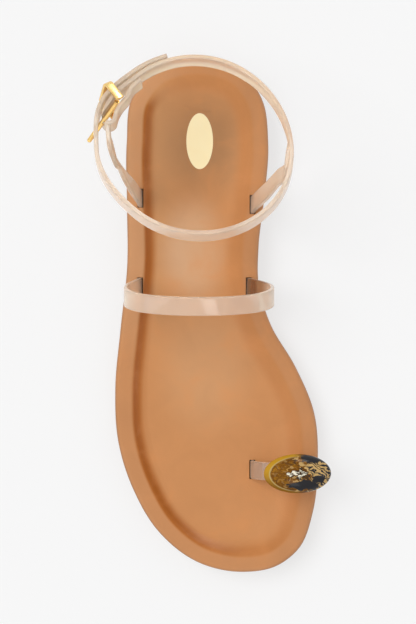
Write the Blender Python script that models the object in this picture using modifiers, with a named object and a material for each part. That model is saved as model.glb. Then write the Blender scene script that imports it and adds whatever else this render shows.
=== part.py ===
"""Flat sandal for a right foot: a moulded footbed on a low unit sole, held by clear straps over the
big toe, the instep and the ankle, with a stone on the toe strap and a loop-and-prong buckle.

Metres. +X points to the big toe's side, +Y to the heel and +Z up. The origin is on the floor under
the middle of the heel. "Along" runs from the back of the heel to the toe, "across" is X, and the tables
of sizes are in millimetres.
"""

import math
from collections import namedtuple

import bmesh
import bpy
from mathutils import Matrix, Vector

MM = 0.001
GAP = 0.3 * MM  # clearance between neighbouring pieces

# Sole: lengths are measured along the foot from the back of the heel
SOLE_LENGTH = 246 * MM
HEEL_BACK = 34 * MM  # Y of the heel's back edge
HEEL_SEAT = 10 * MM  # height of the footbed's underside at the heel
FOREFOOT_SEAT = 4 * MM  # and at the ball of the foot
PITCH_START = 55 * MM
PITCH_END = 150 * MM
SPRING_START = 190 * MM
TOE_SPRING = 5.5 * MM
HEEL_BREAST = 58 * MM  # front face of the moulded heel
OUTSOLE_INSET = 0.8 * MM  # the outsole stands back under the footbed's edge
ARCH_RISE = 1.4 * MM  # medial lift of the foot pan at the waist
ARCH_MIDDLE = 92 * MM
ARCH_REACH = 48 * MM
ARCH_SIDE = 26 * MM  # the lift grows from the middle line out to here
CUP_RISE = 1.2 * MM  # lift of the foot pan towards the heel's back
CUP_START = 8 * MM
CUP_END = 48 * MM
SIDE_POINTS = 38  # points on each side of a sole ring
SPINE_ENDS = 4  # points at each end that share one spine point
CAP_SHARES = (1, 0.5)  # rings of a flat underside or top, from the spine to its edge
CURVE_STEPS = 12  # points on a smooth curve between two rows of a table
MERGE_DISTANCE = 0.001 * MM  # points this close become one

# Straps
STRAP_WIDTH = 9 * MM
STRAP_THICKNESS = 2 * MM
TAB_WIDTH = 8.4 * MM
TOE_STRAP_WIDTH = 8.6 * MM
STRAP_EDGE = 0.4 * MM  # bevel on the straps' edges
INSTEP_SPANS = 46
TOE_SPANS = 30
TAB_SPANS = 26
SLOT_PLAY = 1.2 * MM  # open part of a slot beside its strap, on the foot's side
SLOT_DEPTH = 60 * MM  # the slots' cutter runs right through the footbed
STRAP_END_LIFT = 1.2 * MM  # strap ends stop this far above the footbed's underside

# Ankle ring: a hoop whose front is higher than its back
RING_HALF_WIDTH = 43 * MM
RING_HALF_LENGTH = 44 * MM
RING_ALONG = 45.4 * MM
RING_HEIGHT = 76 * MM
RING_TILT = math.radians(21)
RING_SKEW = 4.2 * MM  # the ring's medial side stands this far forward
SKEW_POWER = 3  # how fast that fades towards the lateral side
FOLD_SPREAD = 5.3 * MM  # between the two legs of the folded end
FOLD_ANGLE = -73  # where the fold turns, in degrees round the ring
FREE_END_ANGLE = 342
BULGE = 2.3 * MM  # the ring stands out this far beside the buckle
BULGE_ANGLE = -66
BULGE_REACH = 26  # degrees to each side
RING_STEP = 6
FOLD_STEPS = 8

# Buckle
PIN_ANGLE = -62
PIN_RADIUS = 0.6 * MM
LOOP_SWING = math.radians(28)  # the loop's outer bar stands this far towards the heel
LOOP_LEAN = math.radians(16)  # its top leans towards the heel
LOOP_ROLL = math.radians(5)  # and inwards
LOOP_HALF_OPENING = 6.4 * MM
LOOP_REACH = 8.1 * MM  # from the pin to the outer bar's inner face
LOOP_BAR = 1.5 * MM
LOOP_DEPTH = 4 * MM
LOOP_INNER_END = 1.3 * MM
LOOP_ROUNDING = 0.5 * MM
ROD_SIDES = 16
PRONG_RADIUS = 1.3 * MM
PRONG_TIP_RADIUS = 1.05 * MM
PRONG_RISE = 2 * MM  # height of the prong on its pin
PRONG_CURL = 1.3 * MM
PRONG_CURL_HEIGHT = 2.6 * MM
PRONG_TIP_ANGLE = -88.3
PRONG_TIP_OFFSET = 6.8 * MM
PRONG_TIP_RISE = 1 * MM
PRONG_ROOM = PRONG_RADIUS + 0.45 * MM  # half width of its notch and hole in the strap
NOTCH_START = 1 * MM  # from the prong's root
NOTCH_LENGTH = 11 * MM
NOTCH_HEIGHT = 12 * MM
HOLE_START = 11 * MM
HOLE_BEYOND_TIP = 6 * MM
CUT_THROUGH = 3  # a cutter is this many times as long as what it passes through

# Toe stone
STONE_HALF_LENGTH = 16.2 * MM
STONE_HALF_WIDTH = 9.3 * MM
STONE_DOME = 6.6 * MM
STONE_BELLY = 3 * MM
STONE_TILT = math.radians(9)
STONE_SEGMENTS = 36
STONE_RINGS = 16

SHARP_ANGLE = math.radians(40)
BEVEL_ANGLE = math.radians(60)

Edge = namedtuple("Edge", "along across")
MEDIAL_EDGE = (
    Edge(0, 0), Edge(6.5, 21.5), Edge(19, 30.7), Edge(40, 33.8), Edge(66, 32), Edge(90, 29.2),
    Edge(108, 29.3), Edge(126.7, 34.8), Edge(148, 47.2), Edge(170, 56.1), Edge(195, 57.8),
    Edge(218, 55.3), Edge(234.5, 48.9), Edge(243.2, 37.8), Edge(246, 22),
)
LATERAL_EDGE = (
    Edge(0, 0), Edge(6.5, -22), Edge(18.5, -31.5), Edge(40, -34.1), Edge(70, -34), Edge(98, -33.9),
    Edge(130, -37.3), Edge(158, -39.8), Edge(184, -38.3), Edge(207, -31), Edge(227, -18.8),
    Edge(241.4, 0), Edge(246, 22),
)

# Footbed section from its underside over the rim and down the wall to the foot pan
Section = namedtuple("Section", "lateral_inset medial_inset height")
FOOTBED_SECTION = (
    Section(1.2, 1.2, 0),
    Section(0.3, 0.3, 0.7),
    Section(0, 0, 2.2),
    Section(0, 0, 6),
    Section(0.5, 0.5, 7.2),
    Section(1.6, 1.6, 7.9),
    Section(7.4, 8, 8.1),
    Section(8.6, 10, 7.7),
    Section(10, 13, 6.5),
    Section(11.6, 16.6, 5.4),
    Section(13.6, 20.6, 4.9),
)
WALL_START = 7  # inset where the foot pan's wall begins
WALL_BLEND = 3  # the wall's direction is blended over this many points to each side
HEEL_WALL_SPREAD = 0.65  # the wall is this much wider at the heel's back
TOE_WALL_SPREAD = 1.1  # and round the big toe
PAN_CENTRE = 4.5  # height of the foot pan's middle above the underside
PAN_SHARES = (0.3, 0.65, 1)  # rings of the foot pan, from its edge to the spine

# Outsole section from the ground up, as heights below the seat
OUTSOLE_SECTION = (
    Section(2, 2, -4),
    Section(0.9, 0.9, -3.3),
    Section(0.4, 0.4, -2.2),
    Section(0.4, 0.4, -0.3),
)

# Arches of the straps that run from slot to slot, from the mouth of the lateral one
Arch = namedtuple("Arch", "across height")
INSTEP_ALONG = 109.5
INSTEP_LEAN = 9.2  # forward shift of the crown
INSTEP_SIDE_TILT = math.radians(9.8)  # turn of the strap's width above the slots
INSTEP_SIDE_RISE = 12
INSTEP_CROWN_TILT = math.radians(12)  # and further over the shoulder to the crown
INSTEP_SHOULDER = 40
INSTEP_ARCH = (
    Arch(-27.9, 14.6), Arch(-30.4, 21.5), Arch(-33.6, 33), Arch(-32.6, 46), Arch(-25.6, 57.4),
    Arch(-13.5, 64), Arch(1, 66), Arch(16, 63.8), Arch(28.6, 56), Arch(34.6, 44), Arch(34.4, 31.5),
    Arch(29.4, 20.8), Arch(24.6, 14.4),
)
TOE_ALONG = 197.2
TOE_ARCH = (
    Arch(26.4, 10.5), Arch(28.4, 17.8), Arch(32.8, 24.4), Arch(40, 28.2), Arch(47.5, 28.4),
    Arch(53.6, 24.8), Arch(55.4, 18.6), Arch(52.6, 12.8),
)

# Side tabs: up from the mouth of the slot, then in ring terms where they join the ring
Bend = namedtuple("Bend", "across along height")
Join = namedtuple("Join", "angle offset rise")
Rise = namedtuple("Rise", "start height")
MEDIAL_TURN = Rise(40, 30)  # heights over which a tab turns to face the ring
LATERAL_TURN = Rise(60, 16)
LATERAL_SQUARE = Rise(24, 36)  # and over which the lateral tab turns square to its own run
MEDIAL_TAB = (
    Bend(26.4, 69.8, 18.6), Bend(29, 67.4, 27), Bend(33, 64, 42), Bend(37.2, 59.4, 56),
)
MEDIAL_JOIN = (Join(93.5, -1.8, -10), Join(89, -1.7, -3.6), Join(83.5, -0.3, 0.2))
LATERAL_TAB = (
    Bend(-27.6, 66.8, 18.8), Bend(-30.4, 62.8, 28), Bend(-34.8, 57, 42), Bend(-37.2, 52.6, 55),
)
LATERAL_JOIN = (Join(-91, -4.5, -9.5), Join(-85.5, -3, -2.6), Join(-76, -2.2, -0.4))

# Ankle strap's layers: distance of its middle from the ring's line, round the ring
Layer = namedtuple("Layer", "angle offset")
INNER_LEG = (
    Layer(FOLD_ANGLE, -FOLD_SPREAD / MM), Layer(-57, -FOLD_SPREAD / MM), Layer(-46, -2.6), Layer(-40, -2.5),
)
OUTER_RUN = (
    Layer(FOLD_ANGLE, 0), Layer(222, 0), Layer(268, 3.1), Layer(312, 3.1), Layer(FREE_END_ANGLE, 2.5),
)

STONE_PLACE = Bend(47.3, 197.9, 31.3)

Slot = namedtuple("Slot", "name across along strap_width")
SLOTS = (
    Slot("lateral_ankle_slot", LATERAL_TAB[0].across, LATERAL_TAB[0].along, TAB_WIDTH),
    Slot("medial_ankle_slot", MEDIAL_TAB[0].across, MEDIAL_TAB[0].along, TAB_WIDTH),
    Slot("lateral_instep_slot", INSTEP_ARCH[0].across, INSTEP_ALONG, STRAP_WIDTH),
    Slot("medial_instep_slot", INSTEP_ARCH[-1].across, INSTEP_ALONG, STRAP_WIDTH),
    Slot("lateral_toe_slot", TOE_ARCH[0].across, TOE_ALONG, TOE_STRAP_WIDTH),
    Slot("medial_toe_slot", TOE_ARCH[-1].across, TOE_ALONG, TOE_STRAP_WIDTH),
)

Finish = namedtuple("Finish", "color roughness metallic")
FINISHES = {
    "footbed_leather": Finish((0.56, 0.29, 0.13), 0.5, 0),
    "sole_rubber": Finish((0.33, 0.17, 0.08), 0.7, 0),
    "clear_nude": Finish((0.80, 0.55, 0.40), 0.2, 0),
    "amber_resin": Finish((0.25, 0.13, 0.03), 0.1, 0),
    "gold_metal": Finish((0.86, 0.60, 0.22), 0.2, 1),
}

BACKWARD = Vector((0, math.cos(RING_TILT), -math.sin(RING_TILT)))
UPRIGHT = Vector((0, math.sin(RING_TILT), math.cos(RING_TILT)))
SIDEWAYS = Vector((1, 0, 0))
RING_CENTRE = Vector((0, HEEL_BACK - RING_ALONG, RING_HEIGHT))


def smoothstep(share):
    """Ease from 0 to 1."""
    share = min(max(share, 0), 1)
    return share * share * (3 - 2 * share)


def blend_layers(layers, angle):
    """Offset at an angle, eased between the rows of a table of layers."""
    rows = sorted(layers)
    for low, high in zip(rows, rows[1:]):
        if angle <= high.angle:
            share = smoothstep((angle - low.angle) / (high.angle - low.angle))
            return low.offset + (high.offset - low.offset) * share
    return rows[-1].offset


def smooth_curve(points, closed=False):
    """Points on a smooth curve through the given ones, with slopes weighted by chord length."""
    count = len(points)
    last = count if closed else count - 1
    chords = [(points[(i + 1) % count] - points[i]).length for i in range(count)]
    slopes = []
    for i in range(count):
        ahead = (points[(i + 1) % count] - points[i]) / chords[i]
        behind = (points[i] - points[i - 1]) / chords[i - 1]
        if not closed and i == 0:
            slopes.append(ahead)
        elif not closed and i == count - 1:
            slopes.append(behind)
        else:
            before = chords[i - 1]
            slopes.append((ahead * before + behind * chords[i]) / (before + chords[i]))
    curve = []
    for i in range(last):
        j = (i + 1) % count
        for step in range(CURVE_STEPS):
            t = step / CURVE_STEPS
            ease = t * t * (3 - 2 * t)
            lead = t * (1 - t) ** 2 * chords[i]
            tail = t * t * (t - 1) * chords[i]
            curve.append(points[i].lerp(points[j], ease) + slopes[i] * lead + slopes[j] * tail)
    if not closed:
        curve.append(points[-1].copy())
    return curve


def even_points(curve, spans):
    """The curve resampled into equal spans of its length."""
    reach = [0.0]
    for start, end in zip(curve, curve[1:]):
        reach.append(reach[-1] + (end - start).length)
    points = []
    segment = 0
    for step in range(spans + 1):
        target = reach[-1] * step / spans
        while segment < len(curve) - 2 and reach[segment + 1] < target:
            segment += 1
        share = (target - reach[segment]) / (reach[segment + 1] - reach[segment])
        points.append(curve[segment].lerp(curve[segment + 1], share))
    return points


def plan_point(across, along):
    """A place in the sole's plan, from millimetres."""
    return Vector((across * MM, HEEL_BACK - along * MM))


def space_point(across, along, height):
    """A place above the floor, from millimetres."""
    return plan_point(across, along).to_3d() + Vector((0, 0, height * MM))


def seat_height(y):
    """Height of the footbed's underside: heel, pitch down to the ball, toe spring."""
    along = HEEL_BACK - y
    pitch = 1 - smoothstep((along - PITCH_START) / (PITCH_END - PITCH_START))
    spring = max(0, (along - SPRING_START) / (SOLE_LENGTH - SPRING_START)) ** 2
    return FOREFOOT_SEAT + (HEEL_SEAT - FOREFOOT_SEAT) * pitch + TOE_SPRING * spring


def pan_lift(point):
    """Lift of the foot pan: on the medial side at the waist, and towards the heel's back."""
    along = HEEL_BACK - point.y
    near = 1 - smoothstep(abs(along - ARCH_MIDDLE) / ARCH_REACH)
    cup = CUP_RISE * (1 - smoothstep((along - CUP_START) / (CUP_END - CUP_START)))
    return ARCH_RISE * near * smoothstep(point.x / ARCH_SIDE) + cup


def sole_outline():
    """The sole's edge in plan, heel to toe on the medial side and back.

    With it come its inward directions, and the same ones blended for the foot pan's wall.
    """
    edge = list(MEDIAL_EDGE) + list(reversed(LATERAL_EDGE))[1:-1]
    curve = smooth_curve([plan_point(e.across, e.along) for e in edge], closed=True)
    toe = (len(MEDIAL_EDGE) - 1) * CURVE_STEPS
    medial = even_points(curve[:toe + 1], SIDE_POINTS)
    lateral = even_points(curve[toe:] + curve[:1], SIDE_POINTS)
    points = medial[:-1] + lateral[:-1]
    count = len(points)
    inward = []
    for i in range(count):
        run = (points[(i + 1) % count] - points[i - 1]).normalized()
        inward.append(Vector((run.y, -run.x)))
    wallward = []
    for i in range(count):
        total = Vector((0, 0))
        for step in range(-WALL_BLEND, WALL_BLEND + 1):
            total += inward[(i + step) % count] * (WALL_BLEND + 1 - abs(step))
        wallward.append(total.normalized())
    return points, inward, wallward


def wall_spread(inward):
    """How much wider the foot pan's wall is here: it fades out at the heel's back and the big toe."""
    heel = max(0, -inward.y) ** 2
    big_toe = max(0, inward.y) * max(0, -inward.x)
    return HEEL_WALL_SPREAD * heel + TOE_WALL_SPREAD * big_toe


def inset_ring(outline, lateral_inset, medial_inset):
    """The outline moved inwards, by one distance on the lateral side and another on the medial."""
    ring = []
    for point, inward, wallward in zip(*outline):
        medial = 0.5 - 0.5 * inward.x
        inset = lateral_inset + (medial_inset - lateral_inset) * medial
        rim = min(inset, WALL_START)
        wall = (inset - rim) * (1 + wall_spread(wallward))
        ring.append(point + (inward * rim + wallward * wall) * MM)
    return ring


def toward_spine(ring, share):
    """A ring moved towards the line midway between its two sides."""
    count = len(ring)
    half = count // 2
    moved = []
    for i, point in enumerate(ring):
        row = min(max(min(i, count - i), SPINE_ENDS), half - SPINE_ENDS)
        spine = (ring[row] + ring[count - row]) / 2
        moved.append(point.lerp(spine, share))
    return moved


def at_height(ring, height, lift_share=0):
    """A plan ring raised to a height above the seat, with a share of the foot pan's lift."""
    raised = []
    for point in ring:
        lift = pan_lift(point) * lift_share
        raised.append(Vector((point.x, point.y, seat_height(point.y) + height * MM + lift)))
    return raised


def material(finish_name):
    """The named finish as a Principled material."""
    found = bpy.data.materials.get(finish_name)
    if found:
        return found
    finish = FINISHES[finish_name]
    made = bpy.data.materials.new(finish_name)
    made.use_nodes = True
    shader = made.node_tree.nodes["Principled BSDF"]
    shader.inputs["Base Color"].default_value = (*finish.color, 1)
    shader.inputs["Roughness"].default_value = finish.roughness
    shader.inputs["Metallic"].default_value = finish.metallic
    return made


def finish_object(name, mesh_data, collection, finish_name=None):
    """Put a bmesh into a named, smoothly shaded object."""
    bmesh.ops.recalc_face_normals(mesh_data, faces=mesh_data.faces)
    mesh = bpy.data.meshes.new(name)
    mesh_data.to_mesh(mesh)
    mesh_data.free()
    mesh.shade_smooth()
    mesh.set_sharp_from_angle(angle=SHARP_ANGLE)
    made = bpy.data.objects.new(name, mesh)
    collection.objects.link(made)
    if finish_name:
        mesh.materials.append(material(finish_name))
    else:
        made.hide_render = True
        made.display_type = "WIRE"
    return made


def loft(rings, capped):
    """A skin over rings of equal count, closed at both ends by caps or by rings that meet on a line."""
    mesh_data = bmesh.new()
    rows = [[mesh_data.verts.new(point) for point in ring] for ring in rings]
    for low, high in zip(rows, rows[1:]):
        for i in range(len(low)):
            j = (i + 1) % len(low)
            mesh_data.faces.new((low[i], low[j], high[j], high[i]))
    if capped:
        mesh_data.faces.new(rows[0])
        mesh_data.faces.new(rows[-1])
    bmesh.ops.remove_doubles(mesh_data, verts=mesh_data.verts, dist=MERGE_DISTANCE)
    return mesh_data


def add_boolean(target, operation, tool):
    """Cut a tool from the target, or join it on."""
    modifier = target.modifiers.new(tool.name, "BOOLEAN")
    modifier.operation = operation
    modifier.object = tool


def band(name, path, width_directions, width, collection, finish_name=None, spare=0):
    """A strap along a path: a strip of faces with Solidify, and bevelled edges."""
    mesh_data = bmesh.new()
    rows = []
    for point, across in zip(path, width_directions):
        reach = across * (width / 2 + spare)
        rows.append([mesh_data.verts.new(point - reach), mesh_data.verts.new(point + reach)])
    for low, high in zip(rows, rows[1:]):
        mesh_data.faces.new((low[0], low[1], high[1], high[0]))
    made = finish_object(name, mesh_data, collection, finish_name)
    wall = made.modifiers.new("thickness", "SOLIDIFY")
    wall.thickness = STRAP_THICKNESS + 2 * spare
    wall.offset = 0
    wall.use_even_offset = True
    edges = made.modifiers.new("edges", "BEVEL")
    edges.width = STRAP_EDGE
    edges.segments = 1
    edges.limit_method = "ANGLE"
    edges.angle_limit = BEVEL_ANGLE
    return made


def box(name, size, matrix, collection, finish_name=None):
    """A block of the given size, placed by a matrix."""
    mesh_data = bmesh.new()
    bmesh.ops.create_cube(mesh_data, size=1, matrix=Matrix.Diagonal((*size, 1)))
    made = finish_object(name, mesh_data, collection, finish_name)
    made.matrix_world = matrix
    return made


def rod(name, start, end, start_radius, end_radius, collection, finish_name=None):
    """A round bar between two points, tapered if the radii differ."""
    mesh_data = bmesh.new()
    bmesh.ops.create_cone(
        mesh_data, cap_ends=True, segments=ROD_SIDES, radius1=start_radius, radius2=end_radius,
        depth=(end - start).length)
    made = finish_object(name, mesh_data, collection, finish_name)
    turn = (end - start).to_track_quat("Z", "Y").to_matrix().to_4x4()
    made.matrix_world = Matrix.Translation((start + end) / 2) @ turn
    return made


def ring_bulge(angle):
    """How far the buckle and the strap's layers in it push the ring outwards here."""
    away = abs((angle - BULGE_ANGLE + 180) % 360 - 180)
    return BULGE * (1 - smoothstep(away / BULGE_REACH))


def ring_point(angle, offset=0.0, rise=0.0):
    """A point of the ankle ring: degrees round it from the heel, out from its line, up its width."""
    turn = math.radians(angle)
    offset += ring_bulge(angle)
    out = SIDEWAYS * math.sin(turn) * (RING_HALF_WIDTH + offset)
    skew = RING_SKEW * ((1 + math.sin(turn)) / 2) ** SKEW_POWER
    back = BACKWARD * (math.cos(turn) * (RING_HALF_LENGTH + offset) - skew)
    return RING_CENTRE + out + back + UPRIGHT * rise


def ring_out(angle):
    """Direction away from the ring's centre."""
    turn = math.radians(angle)
    return SIDEWAYS * math.sin(turn) + BACKWARD * math.cos(turn)


def make_outsole(outline, parts, cutters):
    """Unit sole with a moulded heel, the waist raised between heel and ball."""
    section = OUTSOLE_SECTION
    grow = OUTSOLE_INSET / MM
    plans = [inset_ring(outline, s.lateral_inset + grow, s.medial_inset + grow) for s in section]
    rings = [at_height(toward_spine(plans[0], share), section[0].height) for share in CAP_SHARES]
    rings += [at_height(plan, s.height) for plan, s in zip(plans, section)]
    for share in reversed(CAP_SHARES):
        rings.append(at_height(toward_spine(plans[-1], share), section[-1].height))
    outsole = finish_object("outsole", loft(rings, capped=False), parts, "sole_rubber")

    # The heel follows the sole's edge and runs a little way up into the sole
    edge_height = (section[1].height - section[0].height) * MM
    top = HEEL_SEAT + (section[1].height + section[2].height) / 2 * MM
    rings = []
    for plan, height in ((plans[0], 0), (plans[1], edge_height), (plans[1], top)):
        rings.append([Vector((p.x, p.y, height)) for p in heel_plan(plan)])
    block = finish_object("heel_block", loft(rings, capped=True), cutters)
    add_boolean(outsole, "UNION", block)


def heel_plan(ring):
    """The part of a ring behind the heel's breast, closed by the breast's straight line."""
    breast_y = HEEL_BACK - HEEL_BREAST
    half = len(ring) // 2
    last = next(i for i in range(half) if ring[i + 1].y < breast_y)
    first = next(i for i in range(len(ring) - 1, half, -1) if ring[i - 1].y < breast_y)
    kept = ring[first:] + ring[:last + 1]
    corners = []
    for end, beyond in ((kept[0], ring[first - 1]), (kept[-1], ring[last + 1])):
        share = (breast_y - end.y) / (beyond.y - end.y)
        corners.append(end.lerp(beyond, share))
    return [corners[0]] + kept + [corners[1]]


def make_footbed(outline, parts, cutters):
    """Moulded footbed: flat rim, soft wall, sunken foot pan, and a slot for each strap end."""
    section = FOOTBED_SECTION
    plans = [inset_ring(outline, s.lateral_inset, s.medial_inset) for s in section]
    rings = [at_height(toward_spine(plans[0], share), section[0].height) for share in CAP_SHARES]
    foot = section[-1]
    rim = max(section, key=lambda row: row.height)
    for plan, row in zip(plans, section):
        on_wall = row.lateral_inset > rim.lateral_inset
        sunk = (rim.height - row.height) / (rim.height - foot.height) if on_wall else 0
        rings.append(at_height(plan, row.height, sunk))
    for share in PAN_SHARES:
        height = foot.height + (PAN_CENTRE - foot.height) * share
        rings.append(at_height(toward_spine(plans[-1], share), height, lift_share=1))
    footbed = finish_object("footbed", loft(rings, capped=False), parts, "footbed_leather")

    for slot in SLOTS:
        length = slot.strap_width + 2 * GAP
        opening = STRAP_THICKNESS + 2 * GAP + SLOT_PLAY
        place = plan_point(slot.across, slot.along).to_3d()
        place.x -= math.copysign(SLOT_PLAY / 2, slot.across)
        cutter = box(slot.name, (opening, length, SLOT_DEPTH), Matrix.Translation(place), cutters)
        add_boolean(footbed, "DIFFERENCE", cutter)


def slot_end(mouth):
    """End of a strap, straight down in its slot from the mouth and just above the outsole."""
    return Vector((mouth.x, mouth.y, seat_height(mouth.y) + STRAP_END_LIFT))


def instep_path():
    """Arch over the instep, leaning forward as it rises, with its width square to the foot."""
    slot_height = INSTEP_ARCH[0].height
    crown = max(row.height for row in INSTEP_ARCH)
    rows = []
    for row in INSTEP_ARCH:
        share = max(0, (row.height - slot_height) / (crown - slot_height))
        along = INSTEP_ALONG + INSTEP_LEAN * share
        rows.append(space_point(row.across, along, row.height))
    rows = [slot_end(rows[0])] + rows + [slot_end(rows[-1])]
    path = even_points(smooth_curve(rows), INSTEP_SPANS)
    widths = []
    for point in path:
        height = point.z / MM
        tilt = INSTEP_SIDE_TILT * smoothstep((height - slot_height) / INSTEP_SIDE_RISE)
        tilt += INSTEP_CROWN_TILT * smoothstep((height - INSTEP_SHOULDER) / (crown - INSTEP_SHOULDER))
        widths.append(Vector((0, math.cos(tilt), math.sin(tilt))))
    return path, widths


def toe_path():
    """Loop over the big toe, from a slot beside the toe to one in the medial rim."""
    rows = [space_point(row.across, TOE_ALONG, row.height) for row in TOE_ARCH]
    rows = [slot_end(rows[0])] + rows + [slot_end(rows[-1])]
    path = even_points(smooth_curve(rows), TOE_SPANS)
    return path, [Vector((0, 1, 0))] * len(path)


def tab_path(bends, joins, side, turn, square_turn=None):
    """Side tab: up from its slot, over the rim, then along the ring where it joins."""
    points = [space_point(bend.across, bend.along, bend.height) for bend in bends]
    points.insert(0, slot_end(points[0]))
    points += [ring_point(j.angle, j.offset * MM, j.rise * MM) for j in joins]
    path = even_points(smooth_curve(points), TAB_SPANS)
    widths = []
    for i, point in enumerate(path):
        run = (path[min(i + 1, len(path) - 1)] - path[max(i - 1, 0)]).normalized()
        from_ring = point - RING_CENTRE
        from_ring -= UPRIGHT * from_ring.dot(UPRIGHT)
        near_ring = smoothstep((point.z / MM - turn.start) / turn.height)
        outward = SIDEWAYS * side
        if square_turn:
            square = Vector((run.y, -run.x, 0)).normalized() * math.copysign(1, run.y) * side
            turned = smoothstep((point.z / MM - square_turn.start) / square_turn.height)
            outward = outward.lerp(square, turned)
        outward = outward.lerp(from_ring.normalized(), near_ring)
        widths.append(outward.cross(run).normalized())
    return path, widths


def ankle_path():
    """Ankle strap from the end of its inner leg, round the fold, once round the ankle to its free end."""
    path = []
    angle = INNER_LEG[-1].angle
    while angle > FOLD_ANGLE:
        path.append(ring_point(angle, blend_layers(INNER_LEG, angle) * MM))
        angle -= RING_STEP / 2
    middle = ring_point(FOLD_ANGLE, -FOLD_SPREAD / 2)
    out = ring_out(FOLD_ANGLE)
    forward = out.cross(UPRIGHT)
    if forward.y > 0:
        forward.negate()
    for step in range(FOLD_STEPS + 1):
        turn = math.pi * step / FOLD_STEPS
        reach = (forward * math.sin(turn) - out * math.cos(turn)) * FOLD_SPREAD / 2
        path.append(middle + reach)
    angle = FOLD_ANGLE + RING_STEP
    while angle < FREE_END_ANGLE:
        path.append(ring_point(angle, blend_layers(OUTER_RUN, angle) * MM))
        angle += RING_STEP
    path.append(ring_point(FREE_END_ANGLE, OUTER_RUN[-1].offset * MM))
    return path, [UPRIGHT] * len(path)


def loop_axes():
    """The buckle loop's own axes: out from its pin, through its depth, and up its pin."""
    out = ring_out(PIN_ANGLE)
    toward_heel = UPRIGHT.cross(out)
    if toward_heel.y < 0:
        toward_heel.negate()
    up = (UPRIGHT + toward_heel * math.tan(LOOP_LEAN) - out * math.tan(LOOP_ROLL)).normalized()
    reach = out * math.cos(LOOP_SWING) + toward_heel * math.sin(LOOP_SWING)
    reach = (reach - up * reach.dot(up)).normalized()
    return reach, up.cross(reach), up


def make_straps(parts, cutters):
    """The three clear straps; the ankle strap has its side tabs joined on and room for the prong."""
    band("instep_strap", *instep_path(), STRAP_WIDTH, parts, "clear_nude")
    band("toe_strap", *toe_path(), TOE_STRAP_WIDTH, parts, "clear_nude")
    ankle = band("ankle_strap", *ankle_path(), STRAP_WIDTH, parts, "clear_nude")
    medial_path = tab_path(MEDIAL_TAB, MEDIAL_JOIN, 1, MEDIAL_TURN)
    medial = band("medial_tab", *medial_path, TAB_WIDTH, cutters)
    lateral_path = tab_path(LATERAL_TAB, LATERAL_JOIN, -1, LATERAL_TURN, LATERAL_SQUARE)
    lateral = band("lateral_tab", *lateral_path, TAB_WIDTH, cutters)
    add_boolean(ankle, "UNION", medial)
    add_boolean(ankle, "UNION", lateral)

    root, tip = prong_ends()
    run = (tip - root).normalized()
    side = UPRIGHT.cross(run).normalized()
    lift = run.cross(side)
    frame = Matrix((run, side, lift)).transposed().to_4x4()
    # The fold is notched from its upper edge so that the prong can swing
    notch_place = root + run * (NOTCH_START + NOTCH_LENGTH / 2) + lift * (NOTCH_HEIGHT / 2 - PRONG_ROOM)
    notch_size = (NOTCH_LENGTH, 2 * PRONG_ROOM, NOTCH_HEIGHT)
    notch = box("prong_notch", notch_size, Matrix.Translation(notch_place) @ frame, cutters)
    add_boolean(ankle, "DIFFERENCE", notch)
    hole_ends = (root + run * HOLE_START, tip + run * HOLE_BEYOND_TIP)
    hole = rod("prong_hole", *hole_ends, PRONG_ROOM, PRONG_ROOM, cutters)
    add_boolean(ankle, "DIFFERENCE", hole)


def prong_ends():
    """Where the prong starts on its pin and where its tip stands outside the strap."""
    _, _, up = loop_axes()
    root = ring_point(PIN_ANGLE, -FOLD_SPREAD / 2) + up * PRONG_RISE
    return root, ring_point(PRONG_TIP_ANGLE, PRONG_TIP_OFFSET, PRONG_TIP_RISE)


def make_stone(parts, cutters):
    """Oval cabochon, hollowed underneath to sit on the toe strap."""
    mesh_data = bmesh.new()
    bmesh.ops.create_uvsphere(mesh_data, u_segments=STONE_SEGMENTS, v_segments=STONE_RINGS, radius=1)
    for vert in mesh_data.verts:
        depth = STONE_DOME if vert.co.z > 0 else STONE_BELLY
        vert.co = Vector((vert.co.x * STONE_HALF_LENGTH, vert.co.y * STONE_HALF_WIDTH, vert.co.z * depth))
    stone = finish_object("toe_stone", mesh_data, parts, "amber_resin")
    place = Matrix.Translation(space_point(*STONE_PLACE))
    stone.matrix_world = place @ Matrix.Rotation(STONE_TILT, 4, "Y")
    seat = band("stone_seat", *toe_path(), TOE_STRAP_WIDTH, cutters, spare=GAP)
    add_boolean(stone, "DIFFERENCE", seat)


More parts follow.
